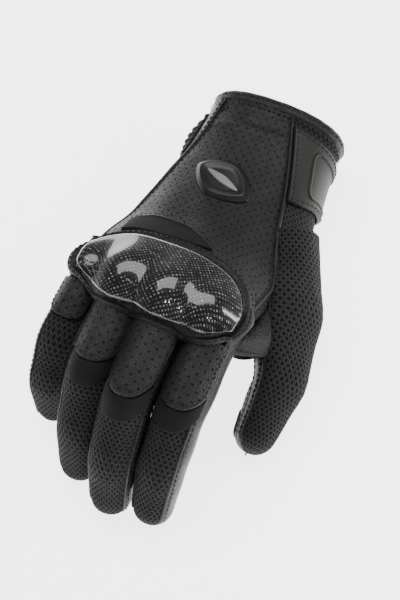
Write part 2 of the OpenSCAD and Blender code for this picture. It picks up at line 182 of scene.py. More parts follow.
def place(ob, hide=(), body="hand"):
    """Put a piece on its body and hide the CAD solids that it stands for."""
    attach(ob, body)
    if hide:
        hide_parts(*hide)


def quads(ni, nj):
    i, j = np.meshgrid(np.arange(ni - 1), np.arange(nj - 1), indexing="ij")
    a = (i * nj + j).ravel()
    return np.stack([a, a + nj, a + nj + 1, a + 1], axis=1)


def shell(buf, outer, inner, mat, UV, zones=None):
    """Closed sheet: an outer grid, an inner grid and the rim between them."""
    ni, nj = outer.shape[:2]
    q = quads(ni, nj)
    n = ni * nj
    out_id = zones.reshape(-1) if zones is not None else np.full(len(q), buf.mat(mat))
    V = np.concatenate([outer.reshape(-1, 3), inner.reshape(-1, 3)])
    uv = np.concatenate([UV.reshape(-1, 2)] * 2)
    rim = np.concatenate([np.arange(nj), np.arange(1, ni) * nj + nj - 1,
                          (ni - 1) * nj + np.arange(nj - 2, -1, -1),
                          np.arange(ni - 2, 0, -1) * nj])
    nxt = np.roll(rim, -1)
    side = np.stack([rim, nxt, nxt + n, rim + n], axis=1)
    F = np.concatenate([q, q[:, ::-1] + n, side])
    ids = np.concatenate([out_id, out_id, np.full(len(side), out_id[0])])
    centre = (outer - inner).reshape(-1, 3)[q[:, 0]]
    P = outer.reshape(-1, 3)
    fn = np.cross(P[q[:, 1]] - P[q[:, 0]], P[q[:, 3]] - P[q[:, 0]])
    if np.sum(fn * centre) < 0:
        F = F[:, ::-1]
    buf.add(V, F, ids.astype(int), uv)


def sheet(buf, P, outward, base, height, mat, uv0=(0, 0), swell=0.0):
    """Panel of leather or cloth lying on grid P: base is its standoff, height its thickness."""
    N = grid_normals(P, outward)
    U, V = run_length(P, 1), run_length(P, 0)
    U = U - U[:, U.shape[1] // 2][:, None]
    h = np.broadcast_to(np.asarray(height, float), P.shape[:2])[..., None]
    if swell:
        h = h + swell * lumps(P)[..., None] * np.clip(h, 0, 1)
    outer = P + N * (base + h)
    shell(buf, outer, P + N * base, mat, np.stack([U + uv0[0], V + uv0[1]], axis=-1))
    return outer, N


def edge_distance(P):
    """Distance in mm from each grid point to the grid's nearest border."""
    U, V = run_length(P, 1), run_length(P, 0)
    return np.minimum(np.minimum(U, U[:, -1:] - U), np.minimum(V, V[-1:, :] - V))


def resample(pts, nrm, step):
    pts, nrm = np.asarray(pts, float), np.asarray(nrm, float)
    d = np.concatenate([[0], np.cumsum(np.linalg.norm(np.diff(pts, axis=0), axis=1))])
    n = max(3, int(d[-1] / step) + 1)
    s = np.linspace(0, d[-1], n)
    P = np.stack([np.interp(s, d, pts[:, k]) for k in range(3)], axis=1)
    N = unit(np.stack([np.interp(s, d, nrm[:, k]) for k in range(3)], axis=1))
    return P, N


def path_frame(pts, nrm, step):
    """The path again in even steps, with its tangents, side directions and normals."""
    P, N = resample(pts, nrm, step)
    T = unit(np.gradient(P, axis=0))
    return P, T, unit(np.cross(T, N)), N


CORD_SIDES = 8
CORD_CAP = np.array([[0, 1, 2, 3], [0, 3, 4, 5], [0, 5, 6, 7]])


def ribbon(buf, pts, nrm, w, h, mat, sink=0.4, step=1.2, ends=True):
    """Half-round cord along a path: piping, moulded ridge or rolled edge."""
    P, _, B, N = path_frame(pts, nrm, step)
    a = np.linspace(0, TAU, CORD_SIDES + 1)
    n = len(P)
    taper = np.ones(n)
    if ends:
        s = np.minimum(np.arange(n), np.arange(n)[::-1]) * step
        taper = edge_round(s, 1.5 * w, 1.0)
    x = (np.cos(a) * w / 2)[None, :, None]
    z = (np.sin(a) * (h + sink) / 2 + (h - sink) / 2)[None, :, None]
    taper = taper[:, None, None]
    G = P[:, None] + B[:, None] * (x * taper) + N[:, None] * (z * taper)
    V, U = np.meshgrid(np.arange(n) * step, a * w / 2, indexing="ij")
    UV = np.stack([U, V], axis=-1)
    q = quads(n, CORD_SIDES + 1)
    turn = np.sum(np.cross(G[0, 1] - G[0, 0], G[1, 0] - G[0, 0]) * (G[0, 0] - P[0]))
    buf.add(G, q if turn < 0 else q[:, ::-1], mat, UV)
    for end in (0, n - 1):
        buf.add(G[end], CORD_CAP, mat, UV[end])


STITCH_L, STITCH_GAP, STITCH_R = 2.1, 0.9, 0.3
STITCH_SIDES = 6
# the four rings of a stitch: place along it, thickness and height
STITCH_AT = np.array([-1, -0.8, 0.8, 1.0])[None, :, None]
STITCH_FAT = np.array([0.35, 1.0, 1.0, 0.35])[None, :, None]
STITCH_RISE = np.array([-0.7, 0.25, 0.25, -0.7])[None, :, None]


def stitch_faces():
    """Side and end faces of one stitch of four rings."""
    n = STITCH_SIDES
    sides = [[i * n + j, i * n + (j + 1) % n, (i + 1) * n + (j + 1) % n, (i + 1) * n + j]
             for i in range(3) for j in range(n)]
    return np.array(sides + [[0, 3, 2, 1], [0, 5, 4, 3], [18, 19, 20, 21], [18, 21, 22, 23]])


def stitches(buf, pts, nrm, lift=0.1, length=STITCH_L, gap=STITCH_GAP, r=STITCH_R):
    """A row of separate thread loops lying on a surface."""
    P, T, B, N = path_frame(pts, nrm, length + gap)
    a = np.linspace(0, TAU, STITCH_SIDES + 1)[:-1, None]
    centre = P[:, None] + T[:, None] * (STITCH_AT * length / 2) + N[:, None] * (lift + STITCH_RISE * r)
    ring = B[:, None] * np.cos(a) + N[:, None] * np.sin(a)
    V = centre[:, :, None] + ring[:, None] * (r * STITCH_FAT)[..., None]
    first = np.arange(len(P))[:, None, None] * (4 * STITCH_SIDES)
    V = V.reshape(-1, 3)
    buf.add(V, (stitch_faces() + first).reshape(-1, 4), M["thread"], V[:, :2])


CLOTH_FRAMES = 20
CLOTH_PRESSURE = 4.0
FLOOR_GAP = 0.1


def puff(ob, free, limit):
    """Short cloth run with pressure inside a sewn pad. free marks the points that may move, and limit
    caps how far, in mm; leather as stiff as this moves by less than 0.1 mm."""
    group = ob.vertex_groups.new(name="sewn")
    group.add([int(i) for i in np.flatnonzero(~free)], 1.0, "REPLACE")
    mod = ob.modifiers.new("puff", "CLOTH")
    st = mod.settings
    st.vertex_group_mass = "sewn"
    st.quality = 4
    st.mass = 0.1
    st.tension_stiffness = st.compression_stiffness = 8
    st.bending_stiffness = 0.3
    st.use_pressure = True
    st.uniform_pressure_force = CLOTH_PRESSURE
    st.effector_weights.gravity = 0
    mod.point_cache.frame_start, mod.point_cache.frame_end = 1, CLOTH_FRAMES
    scene = bpy.context.scene
    n = len(ob.data.vertices)
    start, end = np.empty(n * 3), np.empty(n * 3)
    ob.data.vertices.foreach_get("co", start)
    for f in range(1, CLOTH_FRAMES + 1):
        scene.frame_set(f)
    posed = ob.evaluated_get(bpy.context.evaluated_depsgraph_get()).data
    posed.vertices.foreach_get("co", end)
    move = np.nan_to_num(end - start).reshape(-1, 3)
    size = np.linalg.norm(move, axis=1, keepdims=True)
    move = move * np.minimum(1, limit * MM / np.maximum(size, 1e-9))
    move[~free] = 0
    ob.modifiers.remove(mod)
    ob.vertex_groups.remove(group)
    final = start.reshape(-1, 3) + move
    final[:, 2] = np.maximum(final[:, 2], FLOOR_GAP * MM)
    ob.data.vertices.foreach_set("co", final.ravel())
    ob.data.update()
    scene.frame_set(1)


# ---- materials


class Nodes:
    """Short spelling for building one material's node graph."""

    def __init__(self, name):
        self.m = bpy.data.materials.new(name)
        self.m.use_nodes = True
        self.t = self.m.node_tree
        self.b = self.t.nodes["Principled BSDF"]
        self.co = self.t.nodes.new("ShaderNodeTexCoord").outputs["Object"]
        uv = self.t.nodes.new("ShaderNodeUVMap")
        uv.uv_map = "mm"
        sep = self.t.nodes.new("ShaderNodeSeparateXYZ")
        self.t.links.new(uv.outputs[0], sep.inputs[0])
        self.u, self.v = sep.outputs[0], sep.outputs[1]

    def link(self, a, socket):
        if isinstance(a, (int, float, tuple)):
            socket.default_value = a
        else:
            self.t.links.new(a, socket)

    def math(self, op, a, b=0.0, c=0.0):
        n = self.t.nodes.new("ShaderNodeMath")
        n.operation = op
        for k, x in enumerate((a, b, c)):
            self.link(x, n.inputs[k])
        return n.outputs[0]

    def noise(self, scale, detail=3.0, rough=0.55):
        n = self.t.nodes.new("ShaderNodeTexNoise")
        self.link(self.co, n.inputs["Vector"])
        n.inputs["Scale"].default_value = scale
        n.inputs["Detail"].default_value = detail
        n.inputs["Roughness"].default_value = rough
        return n.outputs["Fac"]

    def cells(self, scale):
        n = self.t.nodes.new("ShaderNodeTexVoronoi")
        self.link(self.co, n.inputs["Vector"])
        n.inputs["Scale"].default_value = scale
        return n.outputs["Distance"]

    def ramp(self, x, a, b, lo=0.0, hi=1.0):
        n = self.t.nodes.new("ShaderNodeMapRange")
        n.interpolation_type = "SMOOTHSTEP"
        for k, y in enumerate((x, a, b, lo, hi)):
            self.link(y, n.inputs[k])
        return n.outputs[0]

    def mix(self, f, a, b):
        n = self.t.nodes.new("ShaderNodeMix")
        n.data_type = "RGBA"
        self.link(f, n.inputs[0])
        self.link((*a, 1) if isinstance(a, tuple) else a, n.inputs[6])
        self.link((*b, 1) if isinstance(b, tuple) else b, n.inputs[7])
        return n.outputs[2]

    def wave(self, x, pitch):
        return self.math("COSINE", self.math("MULTIPLY", x, TAU / pitch))

    def lattice(self, pu, pv):
        """Staggered dots: 1 at the dots, -1 between them."""
        return self.math("MULTIPLY", self.wave(self.u, pu), self.wave(self.v, pv))

    def done(self, colour, rough, height, strength, distance, **extra):
        self.link((*colour, 1) if isinstance(colour, tuple) else colour, self.b.inputs["Base Color"])
        self.link(rough, self.b.inputs["Roughness"])
        n = self.t.nodes.new("ShaderNodeBump")
        n.inputs["Strength"].default_value = strength
        n.inputs["Distance"].default_value = distance
        self.link(height, n.inputs["Height"])
        self.link(n.outputs[0], self.b.inputs["Normal"])
        for k, x in extra.items():
            self.link(x, self.b.inputs[k.replace("_", " ")])
        return self.m


def shade(tone, tint=(1, 1, 1)):
    return tuple(tone * k for k in tint)


LEATHER_TINT = (0.97, 1.0, 0.95)
HOLE_PITCH = 5.4


def leather(name, tone, perforated=False, rough=0.42):
    g = Nodes(name)
    crease = g.noise(190, 6, 0.75)
    grain = g.math("ADD", g.ramp(g.cells(1150), 0.1, 0.75), g.math("MULTIPLY", g.noise(3600, 2), 0.35))
    height = g.math("ADD", grain, g.math("MULTIPLY", crease, 2.6))
    # tone that differs at random, and partly painted shade: the crease noise that sinks the surface also
    # makes the leather darker in the crease valleys
    patches_and_crease_shade = g.math("MULTIPLY_ADD", g.noise(28, 3), 0.8, g.math("MULTIPLY", crease, 0.3))
    col = g.mix(patches_and_crease_shade, shade(tone * 0.62, LEATHER_TINT), shade(tone * 1.5, LEATHER_TINT))
    r = g.math("MULTIPLY_ADD", g.noise(300, 3), 0.22, rough - 0.08)
    if perforated:
        dots = g.ramp(g.lattice(HOLE_PITCH, HOLE_PITCH), 0.75, 0.84)
        # painted shade: the perforations are holes only in the bump and the colour, painted near black for
        # the shade inside them
        col = g.mix(dots, col, (0.001, 0.001, 0.001))
        height = g.math("MULTIPLY_ADD", dots, -9.0, height)
        r = g.math("MAXIMUM", r, dots)
    return g.done(col, r, height, 0.75, 0.0003, Specular_IOR_Level=0.24, Coat_Weight=0.06, Coat_Roughness=0.3)


MESH_ACROSS, MESH_ALONG = 1.15, 1.5
YARN = 0.42


def air_mesh(name, pitch, tone):
    g = Nodes(name)
    lat = g.lattice(pitch * MESH_ACROSS, pitch * MESH_ALONG)
    hole = g.ramp(lat, 0.05, 0.42)
    yarns = [g.wave(g.math(op, g.u, g.v), YARN) for op in ("ADD", "SUBTRACT")]
    knit = g.math("MULTIPLY_ADD", g.math("ADD", *yarns), 0.10, g.math("MULTIPLY", g.noise(2600, 3), 0.6))
    height = g.math("MULTIPLY_ADD", hole, -3.0, knit)
    fluff = g.math("MULTIPLY", g.noise(900, 3), 0.6)
    strand = g.math("MULTIPLY_ADD", g.ramp(lat, -0.9, -0.1), 0.55, fluff)
    col = g.mix(strand, (tone * 0.6,) * 3, (tone * 2.3, tone * 2.32, tone * 2.4))
    # painted shade: the holes of the mesh are painted near black for the shade inside them
    col = g.mix(g.math("MULTIPLY", hole, 0.93), col, (0.0015, 0.0015, 0.0016))
    return g.done(col, 0.8, height, 0.6, 0.0003, Specular_IOR_Level=0.12, Sheen_Weight=0.04,
                  Sheen_Roughness=0.5)


TOW = 2.3


def carbon(name):
    """Woven carbon under clear lacquer: broken bright dashes of painted highlight, standing in for glints off
    the fibre tows, on a near-black weave.
    """
    g = Nodes(name)
    lat = g.lattice(TOW, TOW * 0.92)
    # painted highlight: pale dashes in the base colour where the tows would glint
    painted_glint = g.math("MULTIPLY", g.ramp(lat, 0.35, 0.65), g.ramp(g.noise(900, 2), 0.40, 0.60, 0.15, 1.0))
    alt = g.math("MULTIPLY", g.wave(g.v, TOW / 2), g.wave(g.u, TOW / 2))
    dim = g.mix(g.ramp(alt, -0.5, 0.8), (0.0012, 0.0012, 0.0015), (0.004, 0.004, 0.0045))
    # colour of the painted glints, varied by noise
    lit = g.mix(g.ramp(g.noise(420, 2), 0.35, 0.7), (0.05, 0.05, 0.05), (0.34, 0.34, 0.33))
    return g.done(g.mix(painted_glint, dim, lit), 0.32, g.math("MULTIPLY", lat, 0.25), 0.05, 0.0001, Coat_Weight=1.0,
                  Coat_Roughness=0.03, Specular_IOR_Level=0.2)


RIB = 0.55


def cloth(name, tone, scale=2200, rough=0.9, strength=0.4):
    g = Nodes(name)
    ribs = g.math("MULTIPLY", g.wave(g.u, RIB), g.wave(g.v, RIB))
    h = g.math("MULTIPLY_ADD", ribs, 0.4, g.noise(scale, 3))
    col = g.mix(g.noise(500, 4), shade(tone * 0.7), shade(tone * 1.35))
    return g.done(col, rough, h, strength, 0.00015, Specular_IOR_Level=0.15, Sheen_Weight=0.03)


def moulded(name, tone, rough, tint=(1, 1, 1)):
    g = Nodes(name)
    fine, broad = g.noise(1500, 3), g.noise(90, 4)
    col = g.mix(broad, shade(tone * 0.8, tint), shade(tone * 1.25, tint))
    r = g.math("MULTIPLY_ADD", broad, 0.18, rough - 0.06)
    return g.done(col, r, g.math("MULTIPLY_ADD", broad, 0.5, fine), 0.15, 0.00012, Specular_IOR_Level=0.3)


M = {
    "perf": leather("perforated_leather", 0.008, True),
    "leather": leather("plain_leather", 0.007),
    "smooth": leather("smooth_leather", 0.006, rough=0.33),
    "palm": leather("palm_leather", 0.012, rough=0.5),
    "mesh": air_mesh("air_mesh_fine", 2.5, 0.011),
    "net": air_mesh("air_mesh_open", 2.75, 0.012),
    "carbon": carbon("carbon_weave"),
    "stretch": cloth("stretch_sheet", 0.006, 3000, 0.75, 0.3),
    "lining": cloth("lining_tricot", 0.012),
    "hook": cloth("hook_and_loop", 0.008, 1400, 1.0, 1.0),
    "strap": moulded("strap_synthetic", 0.0125, 0.5, (1.06, 1.0, 0.86)),
    "badge": moulded("badge_rubber", 0.010, 0.3),
    "bar": moulded("badge_bar_satin", 0.20, 0.3, (1, 1.01, 1)),
    "thread": cloth("thread", 0.014, 4000, 0.6, 0.3),
}

# ---- hand surface

CUFF_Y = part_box("cuff_binding")[0][1] / MM
# rows of y, centre x, half width, bottom z, top z, all in mm, and drop per mm towards the little finger
STATIONS = np.array([
    [-90, 0, 37.5, 5, 49, 0], [-62, 0, 37, 5, 48.5, 0], [-46, -1, 38.5, 5, 48, 0],
    [-28, -1.5, 43, 2.8, 49, 0.01], [2, -1.5, 46.5, 2.8, 54, 0.02], [26, -0.5, 48.5, 17, 63.5, 0.04],
    [50, 0.5, 48.5, 37.5, 70.5, 0.07], [60, 0.5, 44, 44, 66, 0.09], [64, 0.5, 38, 49, 62, 0.1]])
SQUARE = 2.3  # 2 would make the hand's section an ellipse


def station(y):
    """Centre x, half width, bottom z, top z and drop of the hand's section at y."""
    return [curve(y, STATIONS[:, 0], STATIONS[:, k]) for k in range(1, 6)]


def loft(y, a, grow=0.0):
    """Point of the hand's surface at y and ring angle a, 0 on the little finger's side."""
    y, a = np.broadcast_arrays(np.asarray(y, float), np.asarray(a, float))
    xc, hw, zb, zt, drop = station(y)
    c, s = np.cos(a), np.sin(a)
    x = (hw + grow) * power(c, 2 / SQUARE)
    z = ((zt - zb) / 2 + grow) * power(s, 2 / SQUARE)
    return np.stack([xc + x, y, (zb + zt) / 2 + z - drop * x], axis=-1)


def loft_out(P):
    """Unit direction away from the middle of the hand."""
    xc, _, zb, zt, _ = station(P[..., 1])
    return unit(np.stack([P[..., 0] - xc, 0 * xc, (P[..., 2] - (zb + zt) / 2) * 2], axis=-1))


def angle_of_x(x, y):
    """Ring angle of the point of the back of the hand above x."""
    xc, hw = station(y)[:2]
    u = np.clip((x - xc) / hw, -0.995, 0.995)
    return np.arccos(power(u, SQUARE / 2))


def top(x, y, side=1):
    """Height of the back of the hand, or of the palm where side is -1."""
    xc, hw, zb, zt, drop = station(y)
    u = np.minimum(np.abs(x - xc) / hw, 0.995)
    return (zb + zt) / 2 + side * (zt - zb) / 2 * (1 - u ** SQUARE) ** (1 / SQUARE) - drop * (x - xc)


# ---- finger skeletons

JOINTS = {j["name"]: j for j in frame["joints"]}
FINGERS = ["index", "middle", "ring", "pinky"]
# cover radius at the knuckle, the two finger joints and the tip, in mm; the thumb's starts at its root
RADII = {"index": [12.4, 12.2, 11.7, 10.3], "middle": [12.4, 12.3, 11.7, 10.4],
         "ring": [12.2, 12.0, 11.3, 9.9], "pinky": [11.2, 11.2, 10.6, 9.2],
         "thumb": [16.5, 15.0, 13.2, 10.9]}


def joint_pos(name):
    return np.array(JOINTS[name]["pos_m"]) / MM


# angle round the thumb of the fuller side, which faces the hand
THUMB_INNER = math.radians(104)


class Digit:
    """Smooth centre line of a finger with its frame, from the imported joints."""

    def __init__(self, name, pts, bend, back):
        self.name, self.r = name, RADII[name]
        X = -unit(np.array(bend, float))
        dirs = [unit(b - a) for a, b in zip(pts[:-1], pts[1:])]
        lens = [np.linalg.norm(b - a) for a, b in zip(pts[:-1], pts[1:])]
        self.at = np.concatenate([[0], np.cumsum(lens)])
        self.tip = self.at[-1]
        step, w = 0.25, 8.0
        s = np.arange(-back, self.tip + self.r[3] * 1.3, step)
        D = np.tile(dirs[0], (len(s), 1))
        for k in range(1, len(dirs)):
            t = smooth(self.at[k] - w, self.at[k] + w, s)[:, None]
            D = D * (1 - t) + dirs[k] * t
        if name != "thumb":
            flat = unit(dirs[0] * np.array([1, 1, 0.0]))
            t = smooth(3.0, -9.0, s)[:, None]
            D = D * (1 - t) + flat * t
        D = unit(D)
        C = np.cumsum(D * step, axis=0)
        i0 = int(round(back / step))
        C = C - C[i0] + pts[0]
        miss = pts[-1] - np.array([np.interp(self.tip, s, C[:, k]) for k in range(3)])
        C = C + miss * np.clip(s / self.tip, 0, 1)[:, None]
        self.s, self.C, self.D, self.X = s, C, D, X
        self.pts, self.dirs = pts, dirs

    def frame(self, s):
        """Centre, direction, sideways and upward at distance s from the first point."""
        C = np.stack([np.interp(s, self.s, self.C[:, k]) for k in range(3)], axis=-1)
        T = unit(np.stack([np.interp(s, self.s, self.D[:, k]) for k in range(3)], axis=-1))
        X = unit(self.X - T * np.sum(T * self.X, axis=-1, keepdims=True))
        return C, T, X, np.cross(X, T)

    def radius(self, s):
        r = curve(s, [self.at[0] - 40, *self.at], [self.r[0] + 1.5, *self.r])
        cap = self.r[3] * 1.12
        over = np.clip((s - self.tip + 1.5) / cap, 0, 0.9995)
        return r * np.sqrt(1 - over ** 2.3)

    def point(self, s, phi, grow=0.0):
        """phi 0 is over the fingernail, a right angle is towards local +X."""
        s, phi = np.broadcast_arrays(np.asarray(s, float), np.asarray(phi, float))
        C, _, X, Z = self.frame(s)
        r = self.radius(s)
        back = np.maximum(np.cos(phi), 0) ** 2
        under = np.maximum(-np.cos(phi), 0) ** 2
        live = np.clip(r / self.r[3], 0, 1)
        for k in range(1, len(self.at) - 1):
            near = np.exp(-((s - self.at[k]) / 7) ** 2)
            r = r + near * (0.7 * back - 1.3 * under) * live
            fold = np.sin((s - self.at[k]) * 1.15 + 0.8 * np.sin(phi * 3 + k))
            r = r + near * fold * (0.32 * under + 0.10 * back) * live
        pad = np.sin(np.clip((s - self.at[-2]) / (self.tip - self.at[-2]), 0, 1) * math.pi)
        r = r + 0.6 * pad * under
        if self.name == "thumb":
            facing = np.exp(-((phi - THUMB_INNER) / 0.75) ** 2)
            r = r + 6.5 * facing * smooth(self.tip - 2, self.at[1] + 4, s) * smooth(14, 36, s) * live
        r = (r + grow * live)[..., None]
        return C + r * (np.cos(phi)[..., None] * Z * 0.97 + np.sin(phi)[..., None] * X)

    def away(self, P, s):
        """Unit directions from the centre line at s to the points P."""
        return unit(P - self.frame(s)[0])

    def track(self, s, phi, grow):
        """A path on the cover and its normals."""
        path = self.point(s, phi, grow)
        return path, self.away(path, s)


def tip_centre(name, r):
    """Middle of the rounded fingertip in the CAD model, r being its radius there."""
    palm, back = (np.array(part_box(f"{name}_tip_{side}")) / MM for side in ("palm", "back"))
    x = (back[0][0] + back[1][0]) / 2
    return np.array([x, max(back[1][1], palm[1][1]) - r, palm[0][2] + r])


CAD_TIP_R = {"index": 9.8, "middle": 9.9, "ring": 9.4, "pinky": 8.8}
digits = {}
for n in FINGERS:
    pts = [joint_pos(f"{n}_{k}") for k in ("knuckle", "middle", "end")]
    pts.append(tip_centre(n, CAD_TIP_R[n]))
    # these two fingertips lean towards the next finger, more than the CAD model's straight tubes do
    close = {"index": 2.0, "middle": 0.6}.get(n, 0.0)
    pts[2] = pts[2] + [0.5 * close, 0, 0]
    pts[3] = pts[3] + [close, -0.9 * close, 0]
    digits[n] = Digit(n, pts, JOINTS[f"{n}_knuckle"]["axis"], 20)

THUMB_ROOT = np.array([-36.0, -18, 31])
THUMB_LAST = 27.0
THUMB_CURL = math.radians(16.8)
t1, t2 = joint_pos("thumb_knuckle"), joint_pos("thumb_end")
flex_axis = -np.array(JOINTS["thumb_end"]["axis"])
along = unit(t2 - t1)
t3 = t2 + THUMB_LAST * (along * math.cos(THUMB_CURL) + np.cross(flex_axis, along) * math.sin(THUMB_CURL))
digits["thumb"] = Digit("thumb", [THUMB_ROOT, t1, t2, t3], flex_axis, 6)


# ---- finger covers

SIDE_SEAM = math.radians(64)
PALM_SEAM = math.radians(122)
FINE_PITCH, OPEN_PITCH = 2.5, 2.75
COVER_WALL = 1.45
# seam of the mesh on the free side of the two outer fingers: side of the hand and angle
FREE_SEAM = {"index": (-1, math.radians(50)), "pinky": (1, math.radians(38))}
THUMB_SEAMS = (math.radians(-75), math.radians(98))


def weave_relief(u, v, pitch, depth):
    lat = np.cos(TAU * u / (pitch * MESH_ACROSS)) * np.cos(TAU * v / (pitch * MESH_ALONG))
    return -depth * smooth(0.05, 0.5, lat)


def tube(digit, s0, s1, seams, pitch, mesh_mat):
    """One length of a finger's cover, all round: mesh over the back between two seams, leather
    side walls and palm, each seam piped and stitched."""
    buf = Buf()
    ns, nphi = max(8, int((s1 - s0) / 0.6)), 132
    S, PHI = np.meshgrid(np.linspace(s0, s1, ns), np.linspace(-math.pi, math.pi, nphi), indexing="ij")
    rad = digit.radius(S)
    u = PHI * digit.r[1]
    live = np.clip(rad / digit.r[3], 0, 1)
    in_mesh = smooth(seams[0] + 0.06, seams[0] + 0.12, PHI)
    in_mesh = in_mesh * (1 - smooth(seams[1] - 0.12, seams[1] - 0.06, PHI))
    grow = weave_relief(u, S, pitch, 0.4) * in_mesh * live
    for pair, depth, width in ((seams, 0.35, 0.9), ((-PALM_SEAM, PALM_SEAM), 0.3, 0.7)):
        for seam in pair:
            grow = grow - depth * np.exp(-((PHI - seam) * rad / width) ** 2) * live
    grow = grow + 0.28 * lumps(digit.point(S, PHI), 1.6) * live
    P = digit.point(S, PHI, grow)
    zone = np.full((ns - 1, nphi - 1), buf.mat(M["smooth"]))
    mid = (PHI[:-1, :-1] + PHI[1:, 1:]) / 2
    zone[np.abs(mid) > PALM_SEAM] = buf.mat(M["palm"])
    zone[(mid > seams[0]) & (mid < seams[1])] = buf.mat(mesh_mat)
    inner = digit.point(S, PHI, -COVER_WALL)
    inner = np.where((rad > 3)[..., None], inner, P * 0.5 + digit.frame(S)[0] * 0.5)
    shell(buf, P, inner, M["smooth"], np.stack([u, S], axis=-1), zone)
    end = min(s1, digit.tip + digit.r[3] * 0.3)
    line = np.linspace(s0, end, max(4, int((end - s0) / 1.5)))
    around = digit.radius(line)
    for seam, side in zip(seams, (-1, 1)):
        ribbon(buf, *digit.track(line, seam, -0.1), 1.5, 0.75, M["leather"], ends=False)
        row = digit.track(line, seam + side * 2.1 / around, 0.05)
        stitches(buf, *row, length=1.7, gap=0.9, r=0.22)
    for side in (-1, 1):
        row = digit.track(line, side * (PALM_SEAM + 1.6 / around), 0.05)
        stitches(buf, *row, length=1.7, gap=0.9, r=0.2)
    return buf


def blend_over(ob, reach):
    """Bake a piece's placement into its mesh. reach is not used."""
    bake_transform(ob)


def make_digit(name, hide):
    """The covers of one finger, one for each moving joint."""
    dg = digits[name]
    if name == "thumb":
        first, start, labels = 1, 2.0, ("knuckle", "end")
        seams, pitch, mat = THUMB_SEAMS, OPEN_PITCH, M["net"]
    else:
        first, start, labels = 0, -16, ("knuckle", "middle", "end")
        seams, pitch, mat = [-SIDE_SEAM, SIDE_SEAM], FINE_PITCH, M["mesh"]
        if name in FREE_SEAM:
            side = FREE_SEAM[name][0] * (1 if dg.X[0] > 0 else -1)
            seams[0 if side < 0 else 1] = side * FREE_SEAM[name][1]
    joints = dg.at[first:-1]
    cuts = [start, *(joints[:-1] + joints[1:]) / 2, dg.tip + dg.r[3] * 1.1]
    for k, label in enumerate(labels):
        ob = tube(dg, cuts[k], cuts[k + 1], seams, pitch, mat).make(f"{name}_{label}_cover")
        reach = 9 if k == 0 else 7.5
        blend_over(ob, dg.frame(joints[k])[1] * reach)
        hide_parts(*hide[k])


for n in FINGERS:
    make_digit(n,
               [[f"{n}_{p}_back", f"{n}_{p}_palm"] for p in ("base", "mid", "tip")])
make_digit("thumb",
           [["thumb_gusset", "thumb_base_back", "thumb_base_palm"], ["thumb_tip_back", "thumb_tip_palm"]])


# ---- knuckle tongues and bands

TONGUE_END = {"index": -1.5, "middle": -1.0, "ring": -4.0, "pinky": -8.0}
TONGUE_FROM = 8.0
BAND_W = 8.0


def tongue_grid(s1, wide):
    """Grid of a tongue that ends in a round tip at s1, wide being its half angle."""
    t = np.linspace(0, 1, 44)[:, None]
    w = wide * np.sqrt(np.maximum(1 - np.clip((t - 0.62) / 0.38, 0, 0.999) ** 2.4, 0.002))
    PHI = np.linspace(-1, 1, 40) * w
    return TONGUE_FROM + (s1 - TONGUE_FROM) * t + 0 * PHI, PHI


def hem(G):
    """Path down one long side of a tongue's grid, round its tip and back up the other side."""
    return np.concatenate([G[8:-4, 3], G[-4, 3:-3], G[8:-4, -4][::-1]])


def knuckle_tongue(n, dg, s1):
    wide = math.radians(60 if n != "pinky" else 50)
    S, PHI = tongue_grid(s1, wide)
    P = dg.point(S, PHI, 0.45)
    d = edge_distance(P)
    d[:12] = np.maximum(d[:12], 2)
    rise = 0.9 * np.exp(-((S - s1 + 12) / 8) ** 2) * np.cos(np.clip(PHI / wide, -1, 1) * math.pi / 2)
    buf = Buf()
    outer, N = sheet(buf, P, dg.away(P, S), 0.0, edge_round(d, 1.3, 1.4) + rise, M["perf"],
                     swell=0.12, uv0=(1.3, 0.8))
    stitches(buf, hem(outer), hem(N), lift=0.15, length=1.6, gap=0.8, r=0.22)
    ob = buf.make(f"{n}_knuckle_tongue")
    free = np.zeros(buf.n, bool)
    free[:d.size] = (d > 2.6).ravel()
    puff(ob, free, 0.7)
    place(ob, [f"{n}_tongue"], f"{n}_base")


def stretch_band(n, dg, s1):
    t = np.linspace(0, 1, 26)[:, None]
    across = np.abs(np.linspace(-1, 1, 61))[None]
    PHI = np.linspace(-1, 1, 61)[None] * math.radians(63) + 0 * t
    S = (s1 - 9.5 * across ** 2.6) * (1 - t) + (s1 + BAND_W - 8.5 * across ** 2.4) * t
    P = dg.point(S, PHI, 0.12)
    buf = Buf()
    sheet(buf, P, dg.away(P, S), 0.0, edge_round(edge_distance(P), 0.8, 0.75), M["stretch"], swell=0.05)
    ob = buf.make(f"{n}_stretch_band")
    blend_over(ob, dg.frame(dg.at[1])[1] * 7.5)
    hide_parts(f"{n}_band")


for n in FINGERS:
    dg = digits[n]
    s1 = dg.at[1] + TONGUE_END[n]
    knuckle_tongue(n, dg, s1)
    if n != "pinky":
        stretch_band(n, dg, s1)


def touch_tip(n, dg):
    """Rounded patch under a fingertip."""
    t = np.linspace(-1, 1, 30)
    A, B = np.meshgrid(t, t, indexing="ij")
    S = dg.tip - 1 + A * 7.5 * np.sqrt(1 - 0.45 * B * B)
    PHI = math.pi + B * math.radians(42) * np.sqrt(1 - 0.45 * A * A)
    P = dg.point(S, PHI, 0.1)
    buf = Buf()
    sheet(buf, P, dg.away(P, S), 0.0, edge_round(edge_distance(P), 0.9, 0.6), M["palm"])
    place(buf.make(f"{n}_touch_tip"), [f"{n}_touch_pad"], f"{n}_tip")


for n in ("index", "thumb"):
    touch_tip(n, digits[n])


